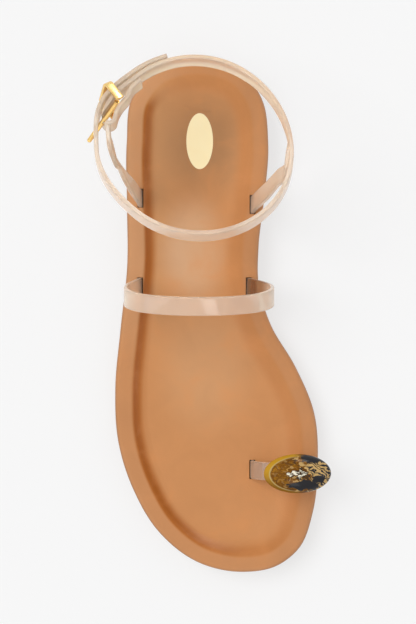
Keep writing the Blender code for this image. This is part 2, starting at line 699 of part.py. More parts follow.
def make_buckle(parts, cutters):
    """Gold loop open towards its pin, the pin joined in, and the prong that turns on the pin."""
    reach, depth, up = loop_axes()
    pin_middle = ring_point(PIN_ANGLE, -FOLD_SPREAD / 2)
    frame = Matrix.Translation(pin_middle) @ Matrix((reach, depth, up)).transposed().to_4x4()

    outer_end = LOOP_REACH + LOOP_BAR
    length = outer_end + LOOP_INNER_END
    half_height = LOOP_HALF_OPENING + LOOP_BAR
    middle = Matrix.Translation(((outer_end - LOOP_INNER_END) / 2, 0, 0))
    loop = box("buckle_loop", (length, LOOP_DEPTH, 2 * half_height), frame @ middle, parts, "gold_metal")
    opening_size = (2 * LOOP_REACH, CUT_THROUGH * LOOP_DEPTH, 2 * LOOP_HALF_OPENING)
    opening = box("loop_opening", opening_size, frame, cutters)
    add_boolean(loop, "DIFFERENCE", opening)
    rounding = loop.modifiers.new("rounding", "BEVEL")
    rounding.width = LOOP_ROUNDING
    rounding.segments = 2
    rounding.limit_method = "ANGLE"
    pin_reach = up * (LOOP_HALF_OPENING + LOOP_BAR / 2)
    pin = rod("loop_pin", pin_middle - pin_reach, pin_middle + pin_reach, PIN_RADIUS, PIN_RADIUS, cutters)
    add_boolean(loop, "UNION", pin)

    root, tip = prong_ends()
    prong = rod("buckle_prong", root, tip, PRONG_RADIUS, PRONG_TIP_RADIUS, parts, "gold_metal")
    half_curl = up * PRONG_CURL_HEIGHT / 2
    curl = rod("prong_curl", root - half_curl, root + half_curl, PRONG_CURL, PRONG_CURL, cutters)
    add_boolean(prong, "UNION", curl)
    bore_radius = PIN_RADIUS + GAP
    bore_reach = half_curl * CUT_THROUGH
    bore = rod("prong_bore", root - bore_reach, root + bore_reach, bore_radius, bore_radius, cutters)
    add_boolean(prong, "DIFFERENCE", bore)


def main():
    """Clear the scene and build the sandal."""
    for leftover in list(bpy.data.objects):
        bpy.data.objects.remove(leftover, do_unlink=True)
    parts = bpy.data.collections.new("strap_sandal")
    cutters = bpy.data.collections.new("strap_sandal_cutters")
    for collection in (parts, cutters):
        bpy.context.scene.collection.children.link(collection)
    outline = sole_outline()
    make_outsole(outline, parts, cutters)
    make_footbed(outline, parts, cutters)
    make_straps(parts, cutters)
    make_stone(parts, cutters)
    make_buckle(parts, cutters)


main()
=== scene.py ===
import math

import bmesh
import bpy
from mathutils import Matrix, Vector
from mathutils.bvhtree import BVHTree
from mathutils.kdtree import KDTree


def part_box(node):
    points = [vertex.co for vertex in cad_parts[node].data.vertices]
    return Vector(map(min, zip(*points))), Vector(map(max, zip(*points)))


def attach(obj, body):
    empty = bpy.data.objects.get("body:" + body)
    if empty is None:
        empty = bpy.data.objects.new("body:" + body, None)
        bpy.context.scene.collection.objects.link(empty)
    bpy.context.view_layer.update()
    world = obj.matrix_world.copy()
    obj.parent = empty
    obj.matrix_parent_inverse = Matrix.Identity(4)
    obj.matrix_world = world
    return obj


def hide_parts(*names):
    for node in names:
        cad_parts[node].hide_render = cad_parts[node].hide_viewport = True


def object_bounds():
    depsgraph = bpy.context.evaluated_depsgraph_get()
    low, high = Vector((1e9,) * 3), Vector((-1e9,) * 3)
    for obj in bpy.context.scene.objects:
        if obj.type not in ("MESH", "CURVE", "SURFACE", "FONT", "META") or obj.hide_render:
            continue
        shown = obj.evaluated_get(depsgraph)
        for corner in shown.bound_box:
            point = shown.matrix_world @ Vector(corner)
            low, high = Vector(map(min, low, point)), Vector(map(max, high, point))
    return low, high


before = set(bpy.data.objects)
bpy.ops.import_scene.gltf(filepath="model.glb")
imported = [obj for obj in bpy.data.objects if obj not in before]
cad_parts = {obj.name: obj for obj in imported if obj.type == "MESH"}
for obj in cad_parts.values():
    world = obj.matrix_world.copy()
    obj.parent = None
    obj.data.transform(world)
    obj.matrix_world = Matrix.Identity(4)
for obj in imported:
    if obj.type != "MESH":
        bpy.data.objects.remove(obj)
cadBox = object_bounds()
mm = 0.001
gap = 0.3 * mm  # clearance between neighbouring pieces
sharpAngle = math.radians(40)  # edges that turn more than this stay sharp
mergeDistance = 1e-6
footbedLow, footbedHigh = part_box("footbed")
print("frame loaded:", len(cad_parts), "nodes")

# The sole: edges are (along the foot from the back of the heel, across) in millimetres
sole = {
    "heelBack": footbedHigh.y,
    "length": footbedHigh.y - footbedLow.y,
    "heelSeat": 10 * mm,  # height of the footbed's underside at the heel
    "ballSeat": 4 * mm,
    "pitchStart": 55 * mm,
    "pitchEnd": 150 * mm,
    "springStart": 190 * mm,
    "toeSpring": 5.5 * mm,
    "sidePoints": 114,
    "spineEnds": 12,  # points at each end that share one spine point
    "curveSteps": 12,
    "wallStart": 7,  # inset where the foot pan's wall begins
    "wallBlend": 0.09,  # share of a side over which the wall's direction is blended
    "heelWallSpread": 0.65,
    "toeWallSpread": 1.1,
    "fillShares": (0.35, 0.7, 1),  # steps from an edge to the spine on flat faces
    "medialEdge": [
        (0, 0), (6.5, 21.5), (19, 30.7), (40, 33.8), (66, 32), (90, 29.2), (108, 29.3), (126.7, 34.8),
        (148, 47.2), (170, 56.1), (195, 57.8), (218, 55.3), (234.5, 48.9), (243.2, 37.8), (246, 22),
    ],
    "lateralEdge": [
        (0, 0), (6.5, -22), (18.5, -31.5), (40, -34.1), (70, -34), (98, -33.9), (130, -37.3), (158, -39.8),
        (184, -38.3), (207, -31), (227, -18.8), (241.4, 0), (246, 22),
    ],
}


def ease(share):
    share = min(max(share, 0), 1)
    return share * share * (3 - 2 * share)


def between(low, high, value):
    return ease((value - low) / (high - low))


def fade(low, high, value):
    return 1 - between(low, high, value)


def smoothCurve(points, steps, closed=False):
    # Hermite spans, slopes weighted by chord length
    count = len(points)
    chords = [(points[(i + 1) % count] - points[i]).length for i in range(count)]
    slopes = []
    for i in range(count):
        ahead = (points[(i + 1) % count] - points[i]) / chords[i]
        behind = (points[i] - points[i - 1]) / chords[i - 1]
        if not closed and i == 0:
            slopes.append(ahead)
        elif not closed and i == count - 1:
            slopes.append(behind)
        else:
            before = chords[i - 1]
            slopes.append((ahead * before + behind * chords[i]) / (before + chords[i]))
    curve = []
    for i in range(count if closed else count - 1):
        j = (i + 1) % count
        for step in range(steps):
            t = step / steps
            lead = slopes[i] * (t * (1 - t) ** 2 * chords[i])
            tail = slopes[j] * (t * t * (t - 1) * chords[i])
            curve.append(points[i].lerp(points[j], ease(t)) + lead + tail)
    if not closed:
        curve.append(points[-1].copy())
    return curve


def evenPoints(curve, spans):
    reach = [0.0]
    for start, end in zip(curve, curve[1:]):
        reach.append(reach[-1] + (end - start).length)
    points = []
    segment = 0
    for step in range(spans + 1):
        target = reach[-1] * step / spans
        while segment < len(curve) - 2 and reach[segment + 1] < target:
            segment += 1
        share = (target - reach[segment]) / (reach[segment + 1] - reach[segment])
        points.append(curve[segment].lerp(curve[segment + 1], share))
    return points


def planPoint(across, along):
    return Vector((across * mm, sole["heelBack"] - along * mm))


def spacePoint(across, along, height):
    return Vector((across * mm, sole["heelBack"] - along * mm, height * mm))


def seatHeight(y):
    along = sole["heelBack"] - y
    pitch = fade(sole["pitchStart"], sole["pitchEnd"], along)
    spring = max(0, (along - sole["springStart"]) / (sole["length"] - sole["springStart"])) ** 2
    return sole["ballSeat"] + (sole["heelSeat"] - sole["ballSeat"]) * pitch + sole["toeSpring"] * spring


def soleOutline(sidePoints):
    edge = sole["medialEdge"] + sole["lateralEdge"][::-1][1:-1]
    curve = smoothCurve([planPoint(across, along) for along, across in edge], sole["curveSteps"], closed=True)
    toe = (len(sole["medialEdge"]) - 1) * sole["curveSteps"]
    medial = evenPoints(curve[:toe + 1], sidePoints)
    lateral = evenPoints(curve[toe:] + curve[:1], sidePoints)
    points = medial[:-1] + lateral[:-1]
    inward = []
    for i in range(len(points)):
        run = (points[(i + 1) % len(points)] - points[i - 1]).normalized()
        inward.append(Vector((run.y, -run.x)))
    window = int(sole["wallBlend"] * sidePoints)
    wallward = []
    for i in range(len(points)):
        total = Vector((0, 0))
        for step in range(-window, window + 1):
            total += inward[(i + step) % len(points)] * (window + 1 - abs(step))
        wallward.append(total.normalized())
    return points, inward, wallward


outline = soleOutline(sole["sidePoints"])


def wallSpread(inward):
    # the foot pan's wall fades out at the heel's back and round the big toe
    heel = max(0, -inward.y) ** 2
    bigToe = max(0, inward.y) * max(0, -inward.x)
    return sole["heelWallSpread"] * heel + sole["toeWallSpread"] * bigToe


def insetRing(lateralInset, medialInset):
    ring = []
    for point, inward, wallward in zip(*outline):
        medial = 0.5 - 0.5 * inward.x
        inset = lateralInset + (medialInset - lateralInset) * medial
        rim = min(inset, sole["wallStart"])
        wall = (inset - rim) * (1 + wallSpread(wallward))
        ring.append(point + (inward * rim + wallward * wall) * mm)
    return ring


def towardSpine(ring, share):
    # the spine runs midway between the ring's two sides
    count = len(ring)
    moved = []
    for i, point in enumerate(ring):
        row = min(max(min(i, count - i), sole["spineEnds"]), count // 2 - sole["spineEnds"])
        moved.append(point.lerp((ring[row] + ring[count - row]) / 2, share))
    return moved


def atHeight(ring, height, liftShare=0):
    return [Vector((p.x, p.y, seatHeight(p.y) + height * mm + panLift(p) * liftShare)) for p in ring]


# Mesh work that every piece uses
def addObject(name, data):
    made = bpy.data.objects.new(name, data)
    bpy.context.scene.collection.objects.link(made)
    return made


def shade(mesh):
    mesh.shade_smooth()
    mesh.set_sharp_from_angle(angle=sharpAngle)


def makeObject(name, meshData):
    bmesh.ops.remove_doubles(meshData, verts=meshData.verts, dist=mergeDistance)
    bmesh.ops.recalc_face_normals(meshData, faces=meshData.faces)
    mesh = bpy.data.meshes.new(name)
    meshData.to_mesh(mesh)
    meshData.free()
    shade(mesh)
    return addObject(name, mesh)


def loft(rings, capped=False):
    meshData = bmesh.new()
    rows = [[meshData.verts.new(point) for point in ring] for ring in rings]
    for low, high in zip(rows, rows[1:]):
        for i in range(len(low)):
            j = (i + 1) % len(low)
            meshData.faces.new((low[i], low[j], high[j], high[i]))
    if capped:
        meshData.faces.new(rows[0])
        meshData.faces.new(rows[-1])
    return meshData


def takeEvaluated(obj):
    # the modifiers' result becomes the object's own plain mesh
    bpy.context.view_layer.update()
    depsgraph = bpy.context.evaluated_depsgraph_get()
    mesh = bpy.data.meshes.new_from_object(obj.evaluated_get(depsgraph))
    mesh.name = obj.name
    shade(mesh)
    obj.modifiers.clear()
    obj.data = mesh


def combine(target, operation, *tools):
    for tool in tools:
        modifier = target.modifiers.new(tool.name, "BOOLEAN")
        modifier.operation = operation
        modifier.object = tool
    takeEvaluated(target)
    for tool in tools:
        bpy.data.objects.remove(tool, do_unlink=True)


def block(name, size, matrix):
    meshData = bmesh.new()
    bmesh.ops.create_cube(meshData, size=1, matrix=matrix @ Matrix.Diagonal((*size, 1)))
    return makeObject(name, meshData)


def turnedPiece(name, profile, start, direction, sides=32):
    # a profile of (radius, distance) spun round an axis
    turn = direction.to_track_quat("Z", "Y").to_matrix()
    rings = []
    for radius, distance in profile:
        angles = [2 * math.pi * i / sides for i in range(sides)]
        ring = [Vector((radius * math.cos(a), radius * math.sin(a), distance)) for a in angles]
        rings.append([start + turn @ place for place in ring])
    return makeObject(name, loft(rings, capped=True))


def rod(name, radius, length, start, direction):
    return turnedPiece(name, [(radius, 0), (radius, length)], start, direction)


def storeShares(piece, shares):
    for name, values in shares.items():
        piece.data.attributes.new(name, "FLOAT", "POINT").data.foreach_set("value", values)


# Node work, for shapes and finishes alike
def feed(tree, node, inputs):
    # a socket is linked, a plain value is set
    for name, value in inputs.items():
        if isinstance(value, bpy.types.NodeSocket):
            tree.links.new(value, node.inputs[name])
        else:
            node.inputs[name].default_value = value


def addNode(tree, kind, inputs=None, **settings):
    made = tree.nodes.new(kind)
    for name, value in settings.items():
        setattr(made, name, value)
    feed(tree, made, inputs or {})
    return made


def newGroup(name, kind, inputs, outputs):
    group = bpy.data.node_groups.new(name, kind)
    for way, sockets in (("INPUT", inputs), ("OUTPUT", outputs)):
        for socket, value in sockets.items():
            group.interface.new_socket(name=socket, in_out=way, socket_type="NodeSocket" + value)
    return group, addNode(group, "NodeGroupInput").outputs, addNode(group, "NodeGroupOutput")


# One tree makes every bar with a rounded oblong section that follows a path
def barTree():
    tree, given, result = newGroup("barAlongPath", "GeometryNodeTree", {
        "Geometry": "Geometry", "Width": "Float", "Thickness": "Float", "Edge Radius": "Float",
        "Edge Points": "Int", "Finish": "Material"}, {"Geometry": "Geometry"})
    tree.is_modifier = True
    path = addNode(tree, "GeometryNodeMeshToCurve", {0: given["Geometry"]})
    direction = addNode(tree, "GeometryNodeInputNamedAttribute", {"Name": "widthDirection"},
                        data_type="FLOAT_VECTOR")
    turned = addNode(tree, "GeometryNodeSetCurveNormal", {
        "Curve": path.outputs[0], "Normal": direction.outputs["Attribute"]}, mode="FREE")
    section = addNode(tree, "GeometryNodeCurvePrimitiveQuadrilateral", {
        "Width": given["Width"], "Height": given["Thickness"]})
    rounded = addNode(tree, "GeometryNodeFilletCurve", {
        "Curve": section.outputs[0], "Radius": given["Edge Radius"], "Count": given["Edge Points"]},
        mode="POLY")
    bar = addNode(tree, "GeometryNodeCurveToMesh", {
        "Curve": turned.outputs[0], "Profile Curve": rounded.outputs[0], "Fill Caps": True})
    realized = addNode(tree, "GeometryNodeRealizeInstances", {0: bar.outputs[0]})
    finished = addNode(tree, "GeometryNodeSetMaterial", {
        "Geometry": realized.outputs[0], "Material": given["Finish"]})
    feed(tree, result, {0: finished.outputs[0]})
    return tree


edgePoints = 4  # on each rounded edge of a bar
barNodes = barTree()


def bars(name, paths, sizes, finish):
    # paths: lists of (point, width direction)
    mesh = bpy.data.meshes.new(name)
    points = []
    edges = []
    for path in paths:
        edges += [(len(points) + i, len(points) + i + 1) for i in range(len(path) - 1)]
        points += path
    mesh.from_pydata([point for point, _ in points], edges, [])
    directions = mesh.attributes.new("widthDirection", "FLOAT_VECTOR", "POINT")
    for item, (_, direction) in zip(directions.data, points):
        item.vector = direction
    made = addObject(name, mesh)
    modifier = made.modifiers.new("bar", "NODES")
    modifier.node_group = barNodes
    inputs = {"Edge Points": edgePoints, **sizes, "Finish": finish}
    for socket in barNodes.interface.items_tree:
        if socket.in_out == "INPUT" and socket.name in inputs:
            modifier[socket.identifier] = inputs[socket.name]
    takeEvaluated(made)
    made.data.attributes.remove(made.data.attributes["widthDirection"])
    return made


# Shader work that every finish uses
def mixColour(tree, share, first, second, blend="MIX"):
    # a Mix node's sockets 0, 6 and 7 are its share and its two colours
    inputs = {0: share}
    for index, colour in ((6, first), (7, second)):
        inputs[index] = colour if isinstance(colour, bpy.types.NodeSocket) else (*colour, 1)
    return addNode(tree, "ShaderNodeMix", inputs, data_type="RGBA", blend_type=blend).outputs[2]


def attribute(tree, name):
    return addNode(tree, "ShaderNodeAttribute", attribute_name=name).outputs["Fac"]


def paintZones(tree, colour, tones):
    # a tone for each attribute of the mesh, laid on in order
    for name, tone in tones.items():
        colour = mixColour(tree, attribute(tree, name), colour, tone)
    return colour


def mathNode(tree, operation, *values):
    return addNode(tree, "ShaderNodeMath", dict(enumerate(values)), operation=operation).outputs[0]


def vectorNode(tree, operation, *values):
    made = addNode(tree, "ShaderNodeVectorMath", dict(enumerate(values)), operation=operation)
    return made.outputs["Value" if operation == "LENGTH" else "Vector"]


def mapRange(tree, value, fromLow, fromHigh, toLow=0.0, toHigh=1.0, kind="SMOOTHSTEP"):
    numbers = {"Value": value, "From Min": fromLow, "From Max": fromHigh, "To Min": toLow, "To Max": toHigh}
    return addNode(tree, "ShaderNodeMapRange", numbers, interpolation_type=kind).outputs["Result"]


def noise(tree, place, scale, **numbers):
    return addNode(tree, "ShaderNodeTexNoise", {"Vector": place, "Scale": scale, **numbers}).outputs


def bump(tree, height, distance, strength):
    numbers = {"Height": height, "Distance": distance, "Strength": strength}
    return addNode(tree, "ShaderNodeBump", numbers).outputs["Normal"]


def objectPlace(tree):
    return addNode(tree, "ShaderNodeTexCoord").outputs["Object"]


def newFinish(name, constants):
    finish = bpy.data.materials.new(name)
    finish.use_nodes = True
    shader = finish.node_tree.nodes["Principled BSDF"]
    feed(finish.node_tree, shader, constants)
    return finish, finish.node_tree, shader


# Pores and soft cloudiness, shared by leather, rubber, foil and the clear straps
poreDepth = 0.6  # against the coarse grain's
noiseMiddle = 0.5


def grainGroup():
    group, given, result = newGroup("grainAndCloud", "ShaderNodeTree", {
        "Vector": "Vector", "Grain Scale": "Float", "Cloud Scale": "Float", "Cloud Amount": "Float"},
        {"Height": "Float", "Tone": "Float", "Cloud": "Float"})
    pores = addNode(group, "ShaderNodeTexVoronoi", {
        "Vector": given["Vector"], "Scale": given["Grain Scale"]}, feature="SMOOTH_F1").outputs["Distance"]
    coarse = noise(group, given["Vector"], given["Grain Scale"], Detail=3.0, Roughness=0.6)["Fac"]
    cloud = noise(group, given["Vector"], given["Cloud Scale"], Detail=4.0, Roughness=0.55, Distortion=0.4)
    centred = mathNode(group, "SUBTRACT", cloud["Fac"], noiseMiddle)
    feed(group, result, {
        "Height": mathNode(group, "MULTIPLY_ADD", pores, poreDepth, coarse),
        "Tone": mathNode(group, "MULTIPLY_ADD", centred, given["Cloud Amount"], 1.0),
        "Cloud": cloud["Fac"]})
    return group


# Hairlines and smears from handling, shared by metal, foil, stone and straps
handling = {"stretch": (1, 6, 3), "smearScale": 160.0, "wear": (0.15, 0.4)}


def handlingGroup():
    group, given, result = newGroup("handlingMarks", "ShaderNodeTree", {
        "Vector": "Vector", "Scale": "Float", "Lowest": "Float", "Highest": "Float"},
        {"Roughness": "Float", "Height": "Float"})
    stretched = addNode(group, "ShaderNodeMapping", {"Vector": given["Vector"], "Scale": handling["stretch"]})
    hairlines = noise(group, stretched.outputs[0], given["Scale"], Detail=6.0, Roughness=0.7)["Fac"]
    smears = noise(group, given["Vector"], handling["smearScale"], Detail=2.0)["Fac"]
    wear = mathNode(group, "MULTIPLY", hairlines, smears)
    roughness = mapRange(group, wear, *handling["wear"], given["Lowest"], given["Highest"], "LINEAR")
    feed(group, result, {"Roughness": roughness, "Height": hairlines})
    return group


grainNodes = grainGroup()
handlingNodes = handlingGroup()


def useGroup(tree, group, numbers):
    inputs = {"Vector": objectPlace(tree), **numbers}
    return addNode(tree, "ShaderNodeGroup", inputs, node_tree=group).outputs


def dress(piece, finish, slotName, *nodes):
    piece.data.materials.clear()
    piece.data.materials.append(finish)
    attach(piece, "root")
    if nodes:
        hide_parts(*nodes)
    print(piece.name, "made:", len(piece.data.polygons), "faces")


# Straps: paths are in millimetres, from the mouth of the lateral slot to the medial one
strap = {
    "thickness": 2 * mm,
    "edgeRadius": 0.55 * mm,
    "endLift": 1.2 * mm,
    "slotShade": (7, 14),  # heights above the seat over which the slot's dark tone fades
    "legShade": (17, 30),  # and the brown of the instep strap's medial leg
    "toeShade": 0.36,  # share of that brown in the toe strap
    "ringPale": (42, 60),  # heights over which the ankle strap turns paler
    # painted light: the ankle strap is paler where its layers overlap and on the lateral tab, whose inner
    # face lies in shade
    "layerSide": (4, 20),  # where it is palest: distances to the lateral side,
    "layerBack": (-16, -6),  # towards the heel
    "layerTab": (50, 60),  # and heights below which it is the tab
}
instep = {
    "width": 9 * mm,
    "along": 109.5,
    "lean": 9.2,  # forward shift of the crown
    "sideTilt": math.radians(9.8),
    "sideRise": 12,
    "crownTilt": math.radians(12),
    "shoulder": 40,
    "spans": 120,
    "arch": [  # across, height
        (-27.9, 14.6), (-30.4, 21.5), (-33.6, 33), (-32.6, 46), (-25.6, 57.4), (-13.5, 64), (1, 66),
        (16, 63.8), (28.6, 56), (34.6, 44), (34.4, 31.5), (29.4, 20.8), (24.6, 14.4),
    ],
}
toe = {
    "width": 8.6 * mm,
    "along": 197.2,
    "spans": 90,
    "arch": [
        (26.4, 10.5), (28.4, 17.8), (32.8, 24.4), (40, 28.2), (47.5, 28.4), (53.6, 24.8), (55.4, 18.6),
        (52.6, 12.8),
    ],
}
ankle = {
    "width": 9 * mm,
    "tabWidth": 8.4 * mm,
    "halfWidth": 43 * mm,
    "halfLength": 44 * mm,
    "skew": 4.2 * mm,  # the medial side stands this far forward
    "skewPower": 3,  # and the lateral side hardly at all
    "along": 45.4,
    "height": 76,
    "tilt": math.radians(21),
    "foldSpread": 5.3 * mm,  # between the legs of the folded end
    "foldAngle": -73,
    "foldSteps": 18,
    "freeEnd": 342,
    "bulge": 2.3 * mm,  # the ring stands out this far beside the buckle
    "bulgeAngle": -66,
    "bulgeReach": 26,  # degrees to each side
    "step": 2,
    "innerLeg": [(-73, -5.3), (-57, -5.3), (-46, -2.6), (-40, -2.5)],  # angle, offset from the ring's line
    "outerRun": [(-73, 0), (222, 0), (268, 3.1), (312, 3.1), (342, 2.5)],
    # tabs are across, along and height; joins are angle, offset and rise
    "medialTab": [(26.4, 69.8, 18.6), (29, 67.4, 27), (33, 64, 42), (37.2, 59.4, 56)],
    "medialJoin": [(93.5, -1.8, -10), (89, -1.7, -3.6), (83.5, -0.3, 0.2)],
    "lateralTab": [(-27.6, 66.8, 18.8), (-30.4, 62.8, 28), (-34.8, 57, 42), (-37.2, 52.6, 55)],
    "lateralJoin": [(-91, -4.5, -9.5), (-85.5, -3, -2.6), (-76, -2.2, -0.4)],
    "tabSpans": 70,
    "medialTurn": (40, 70),  # heights over which a tab turns to face the ring
    "lateralTurn": (60, 76),
    "lateralSquare": (24, 60),  # and over which the lateral one turns square to its own run
}
pathSteps = 10
sideways = Vector((1, 0, 0))
backward = Vector((0, math.cos(ankle["tilt"]), -math.sin(ankle["tilt"])))
upright = Vector((0, math.sin(ankle["tilt"]), math.cos(ankle["tilt"])))
ringCentre = spacePoint(0, ankle["along"], ankle["height"])


def slotEnd(mouth):
    return Vector((mouth.x, mouth.y, seatHeight(mouth.y) + strap["endLift"]))


def slotToSlot(rows, spans):
    rows = [slotEnd(rows[0])] + rows + [slotEnd(rows[-1])]
    return evenPoints(smoothCurve(rows, pathSteps), spans)


def instepPath():
    slotHeight = instep["arch"][0][1]
    crown = max(height for _, height in instep["arch"])
    rows = []
    for across, height in instep["arch"]:
        share = max(0, (height - slotHeight) / (crown - slotHeight))
        rows.append(spacePoint(across, instep["along"] + instep["lean"] * share, height))
    path = []
    for point in slotToSlot(rows, instep["spans"]):
        height = point.z / mm
        tilt = instep["sideTilt"] * between(slotHeight, slotHeight + instep["sideRise"], height)
        tilt += instep["crownTilt"] * between(instep["shoulder"], crown, height)
        path.append((point, Vector((0, math.cos(tilt), math.sin(tilt)))))
    return path


def toePath():
    rows = [spacePoint(across, toe["along"], height) for across, height in toe["arch"]]
    return [(point, Vector((0, 1, 0))) for point in slotToSlot(rows, toe["spans"])]


def ringBulge(angle):
    away = abs((angle - ankle["bulgeAngle"] + 180) % 360 - 180)
    return ankle["bulge"] * (1 - ease(away / ankle["bulgeReach"]))


def ringPoint(angle, offset=0.0, rise=0.0):
    turn = math.radians(angle)
    offset += ringBulge(angle)
    out = sideways * math.sin(turn) * (ankle["halfWidth"] + offset)
    skew = ankle["skew"] * ((1 + math.sin(turn)) / 2) ** ankle["skewPower"]
    back = backward * (math.cos(turn) * (ankle["halfLength"] + offset) - skew)
    return ringCentre + out + back + upright * rise


def ringOut(angle):
    turn = math.radians(angle)
    return sideways * math.sin(turn) + backward * math.cos(turn)


def towardHeel(out):
    run = upright.cross(out)
    return run if run.y > 0 else -run


def layerOffset(layers, angle):
    for (low, lowOffset), (high, highOffset) in zip(layers, layers[1:]):
        if angle <= high:
            return (lowOffset + (highOffset - lowOffset) * between(low, high, angle)) * mm
    return layers[-1][1] * mm


def tabPath(bends, joins, side, turnHeights, squareHeights=None):
    points = [spacePoint(*bend) for bend in bends]
    points.insert(0, slotEnd(points[0]))
    points += [ringPoint(angle, offset * mm, rise * mm) for angle, offset, rise in joins]
    places = evenPoints(smoothCurve(points, pathSteps), ankle["tabSpans"])
    path = []
    for i, place in enumerate(places):
        run = (places[min(i + 1, len(places) - 1)] - places[max(i - 1, 0)]).normalized()
        fromRing = place - ringCentre
        fromRing -= upright * fromRing.dot(upright)
        outward = sideways * side
        if squareHeights:
            square = Vector((run.y, -run.x, 0)).normalized() * math.copysign(1, run.y) * side
            outward = outward.lerp(square, between(*squareHeights, place.z / mm))
        outward = outward.lerp(fromRing.normalized(), between(*turnHeights, place.z / mm))
        path.append((place, outward.cross(run).normalized()))
    return path


def ringRun(layers, angles):
    return [ringPoint(angle, layerOffset(layers, angle)) for angle in angles]


def anklePath():
    toFold = range(ankle["innerLeg"][-1][0], ankle["foldAngle"], -ankle["step"])
    places = ringRun(ankle["innerLeg"], toFold)
    middle = ringPoint(ankle["foldAngle"], -ankle["foldSpread"] / 2)
    out = ringOut(ankle["foldAngle"])
    forward = -towardHeel(out)
    for step in range(ankle["foldSteps"] + 1):
        turn = math.pi * step / ankle["foldSteps"]
        places.append(middle + (forward * math.sin(turn) - out * math.cos(turn)) * ankle["foldSpread"] / 2)
    onward = range(ankle["foldAngle"] + ankle["step"], ankle["freeEnd"], ankle["step"])
    places += ringRun(ankle["outerRun"], (*onward, ankle["freeEnd"]))
    return [(place, upright) for place in places]


# Buckle: a flat bar bent to a U, its pin in the strap's fold, and the prong
buckle = {
    "pinAngle": -62,
    "pinRadius": 0.6 * mm,
    "swing": math.radians(28),  # of the loop, out and towards the heel
    "lean": math.radians(16),  # of its top towards the heel
    "roll": math.radians(5),  # and inwards
    "halfOpening": 6.4 * mm,
    "reach": 8.1 * mm,
    "bar": 1.5 * mm,
    "depth": 4 * mm,
    "innerEnd": 1.3 * mm,
    "corner": 1.8 * mm,
    "cornerPoints": 8,
    "edgeRadius": 0.5 * mm,
    "prongRadius": 1.3 * mm,
    "prongTipRadius": 1.05 * mm,
    "prongRise": 2 * mm,
    "curlRadius": 1.3 * mm,
    "curlHeight": 2.6 * mm,
    "curlEdge": 0.3 * mm,
    "tipDegrees": (18, 36, 54, 72, 84),  # steps of the tip's rounding
    "boreShare": 3,  # length of the tool for the pin's bore, in curl heights
    "tipAngle": -88.3,
    "tipOffset": 6.8 * mm,
    "tipRise": 1 * mm,
    "room": 0.45 * mm,  # round the prong, in its notch and hole
    "notchStart": 1 * mm,
    "notchLength": 11 * mm,
    "notchHeight": 12 * mm,
    "holeStart": 11 * mm,
    "holeBeyondTip": 6 * mm,
}


def buckleAxes():
    out = ringOut(buckle["pinAngle"])
    toHeel = towardHeel(out)
    up = (upright + toHeel * math.tan(buckle["lean"]) - out * math.tan(buckle["roll"])).normalized()
    reach = out * math.cos(buckle["swing"]) + toHeel * math.sin(buckle["swing"])
    reach = (reach - up * reach.dot(up)).normalized()
    return reach, up.cross(reach), up


reachAxis, depthAxis, pinAxis = buckleAxes()
pinMiddle = ringPoint(buckle["pinAngle"], -ankle["foldSpread"] / 2)
prongRoot = pinMiddle + pinAxis * buckle["prongRise"]
prongTip = ringPoint(buckle["tipAngle"], buckle["tipOffset"], buckle["tipRise"])
prongRun = (prongTip - prongRoot).normalized()


def makeBuckleLoop():
    height = buckle["halfOpening"] + buckle["bar"] / 2
    far = buckle["reach"] + buckle["bar"] / 2
    turn = buckle["corner"]
    line = [(-buckle["innerEnd"], height)]
    for centre, startAngle in (((far - turn, height - turn), 90), ((far - turn, turn - height), 0)):
        for i in range(buckle["cornerPoints"] + 1):
            angle = math.radians(startAngle - 90 * i / buckle["cornerPoints"])
            line.append((centre[0] + turn * math.cos(angle), centre[1] + turn * math.sin(angle)))
    line.append((-buckle["innerEnd"], -height))
    path = [(pinMiddle + reachAxis * x + pinAxis * z, depthAxis) for x, z in line]
    sizes = {"Width": buckle["depth"], "Thickness": buckle["bar"], "Edge Radius": buckle["edgeRadius"]}
    loop = bars("buckleLoop", [path], sizes, goldLook)
    pinLength = 2 * buckle["halfOpening"] + buckle["bar"]
    pinStart = pinMiddle - pinAxis * pinLength / 2
    combine(loop, "UNION", rod("pin", buckle["pinRadius"], pinLength, pinStart, pinAxis))
    return loop


def makeBuckleProng():
    length = (prongTip - prongRoot).length
    tip = buckle["prongTipRadius"]
    profile = [(buckle["prongRadius"], 0), (tip, length - tip)]
    for degrees in buckle["tipDegrees"]:
        turn = math.radians(degrees)
        profile.append((tip * math.cos(turn), length - tip + tip * math.sin(turn)))
    prong = turnedPiece("buckleProng", profile, prongRoot, prongRun)
    edge = buckle["curlEdge"]
    tall = buckle["curlHeight"]
    wide = buckle["curlRadius"]
    curl = turnedPiece("curl", [(wide - edge, 0), (wide, edge), (wide, tall - edge), (wide - edge, tall)],
                       prongRoot - pinAxis * tall / 2, pinAxis)
    combine(prong, "UNION", curl)
    boreLength = buckle["boreShare"] * tall
    boreStart = prongRoot - pinAxis * boreLength / 2
    combine(prong, "DIFFERENCE", rod("bore", buckle["pinRadius"] + gap, boreLength, boreStart, pinAxis))
    return prong


def strapSizes(width, spare=0.0):
    return {"Width": width + 2 * spare, "Thickness": strap["thickness"] + 2 * spare,
            "Edge Radius": strap["edgeRadius"]}


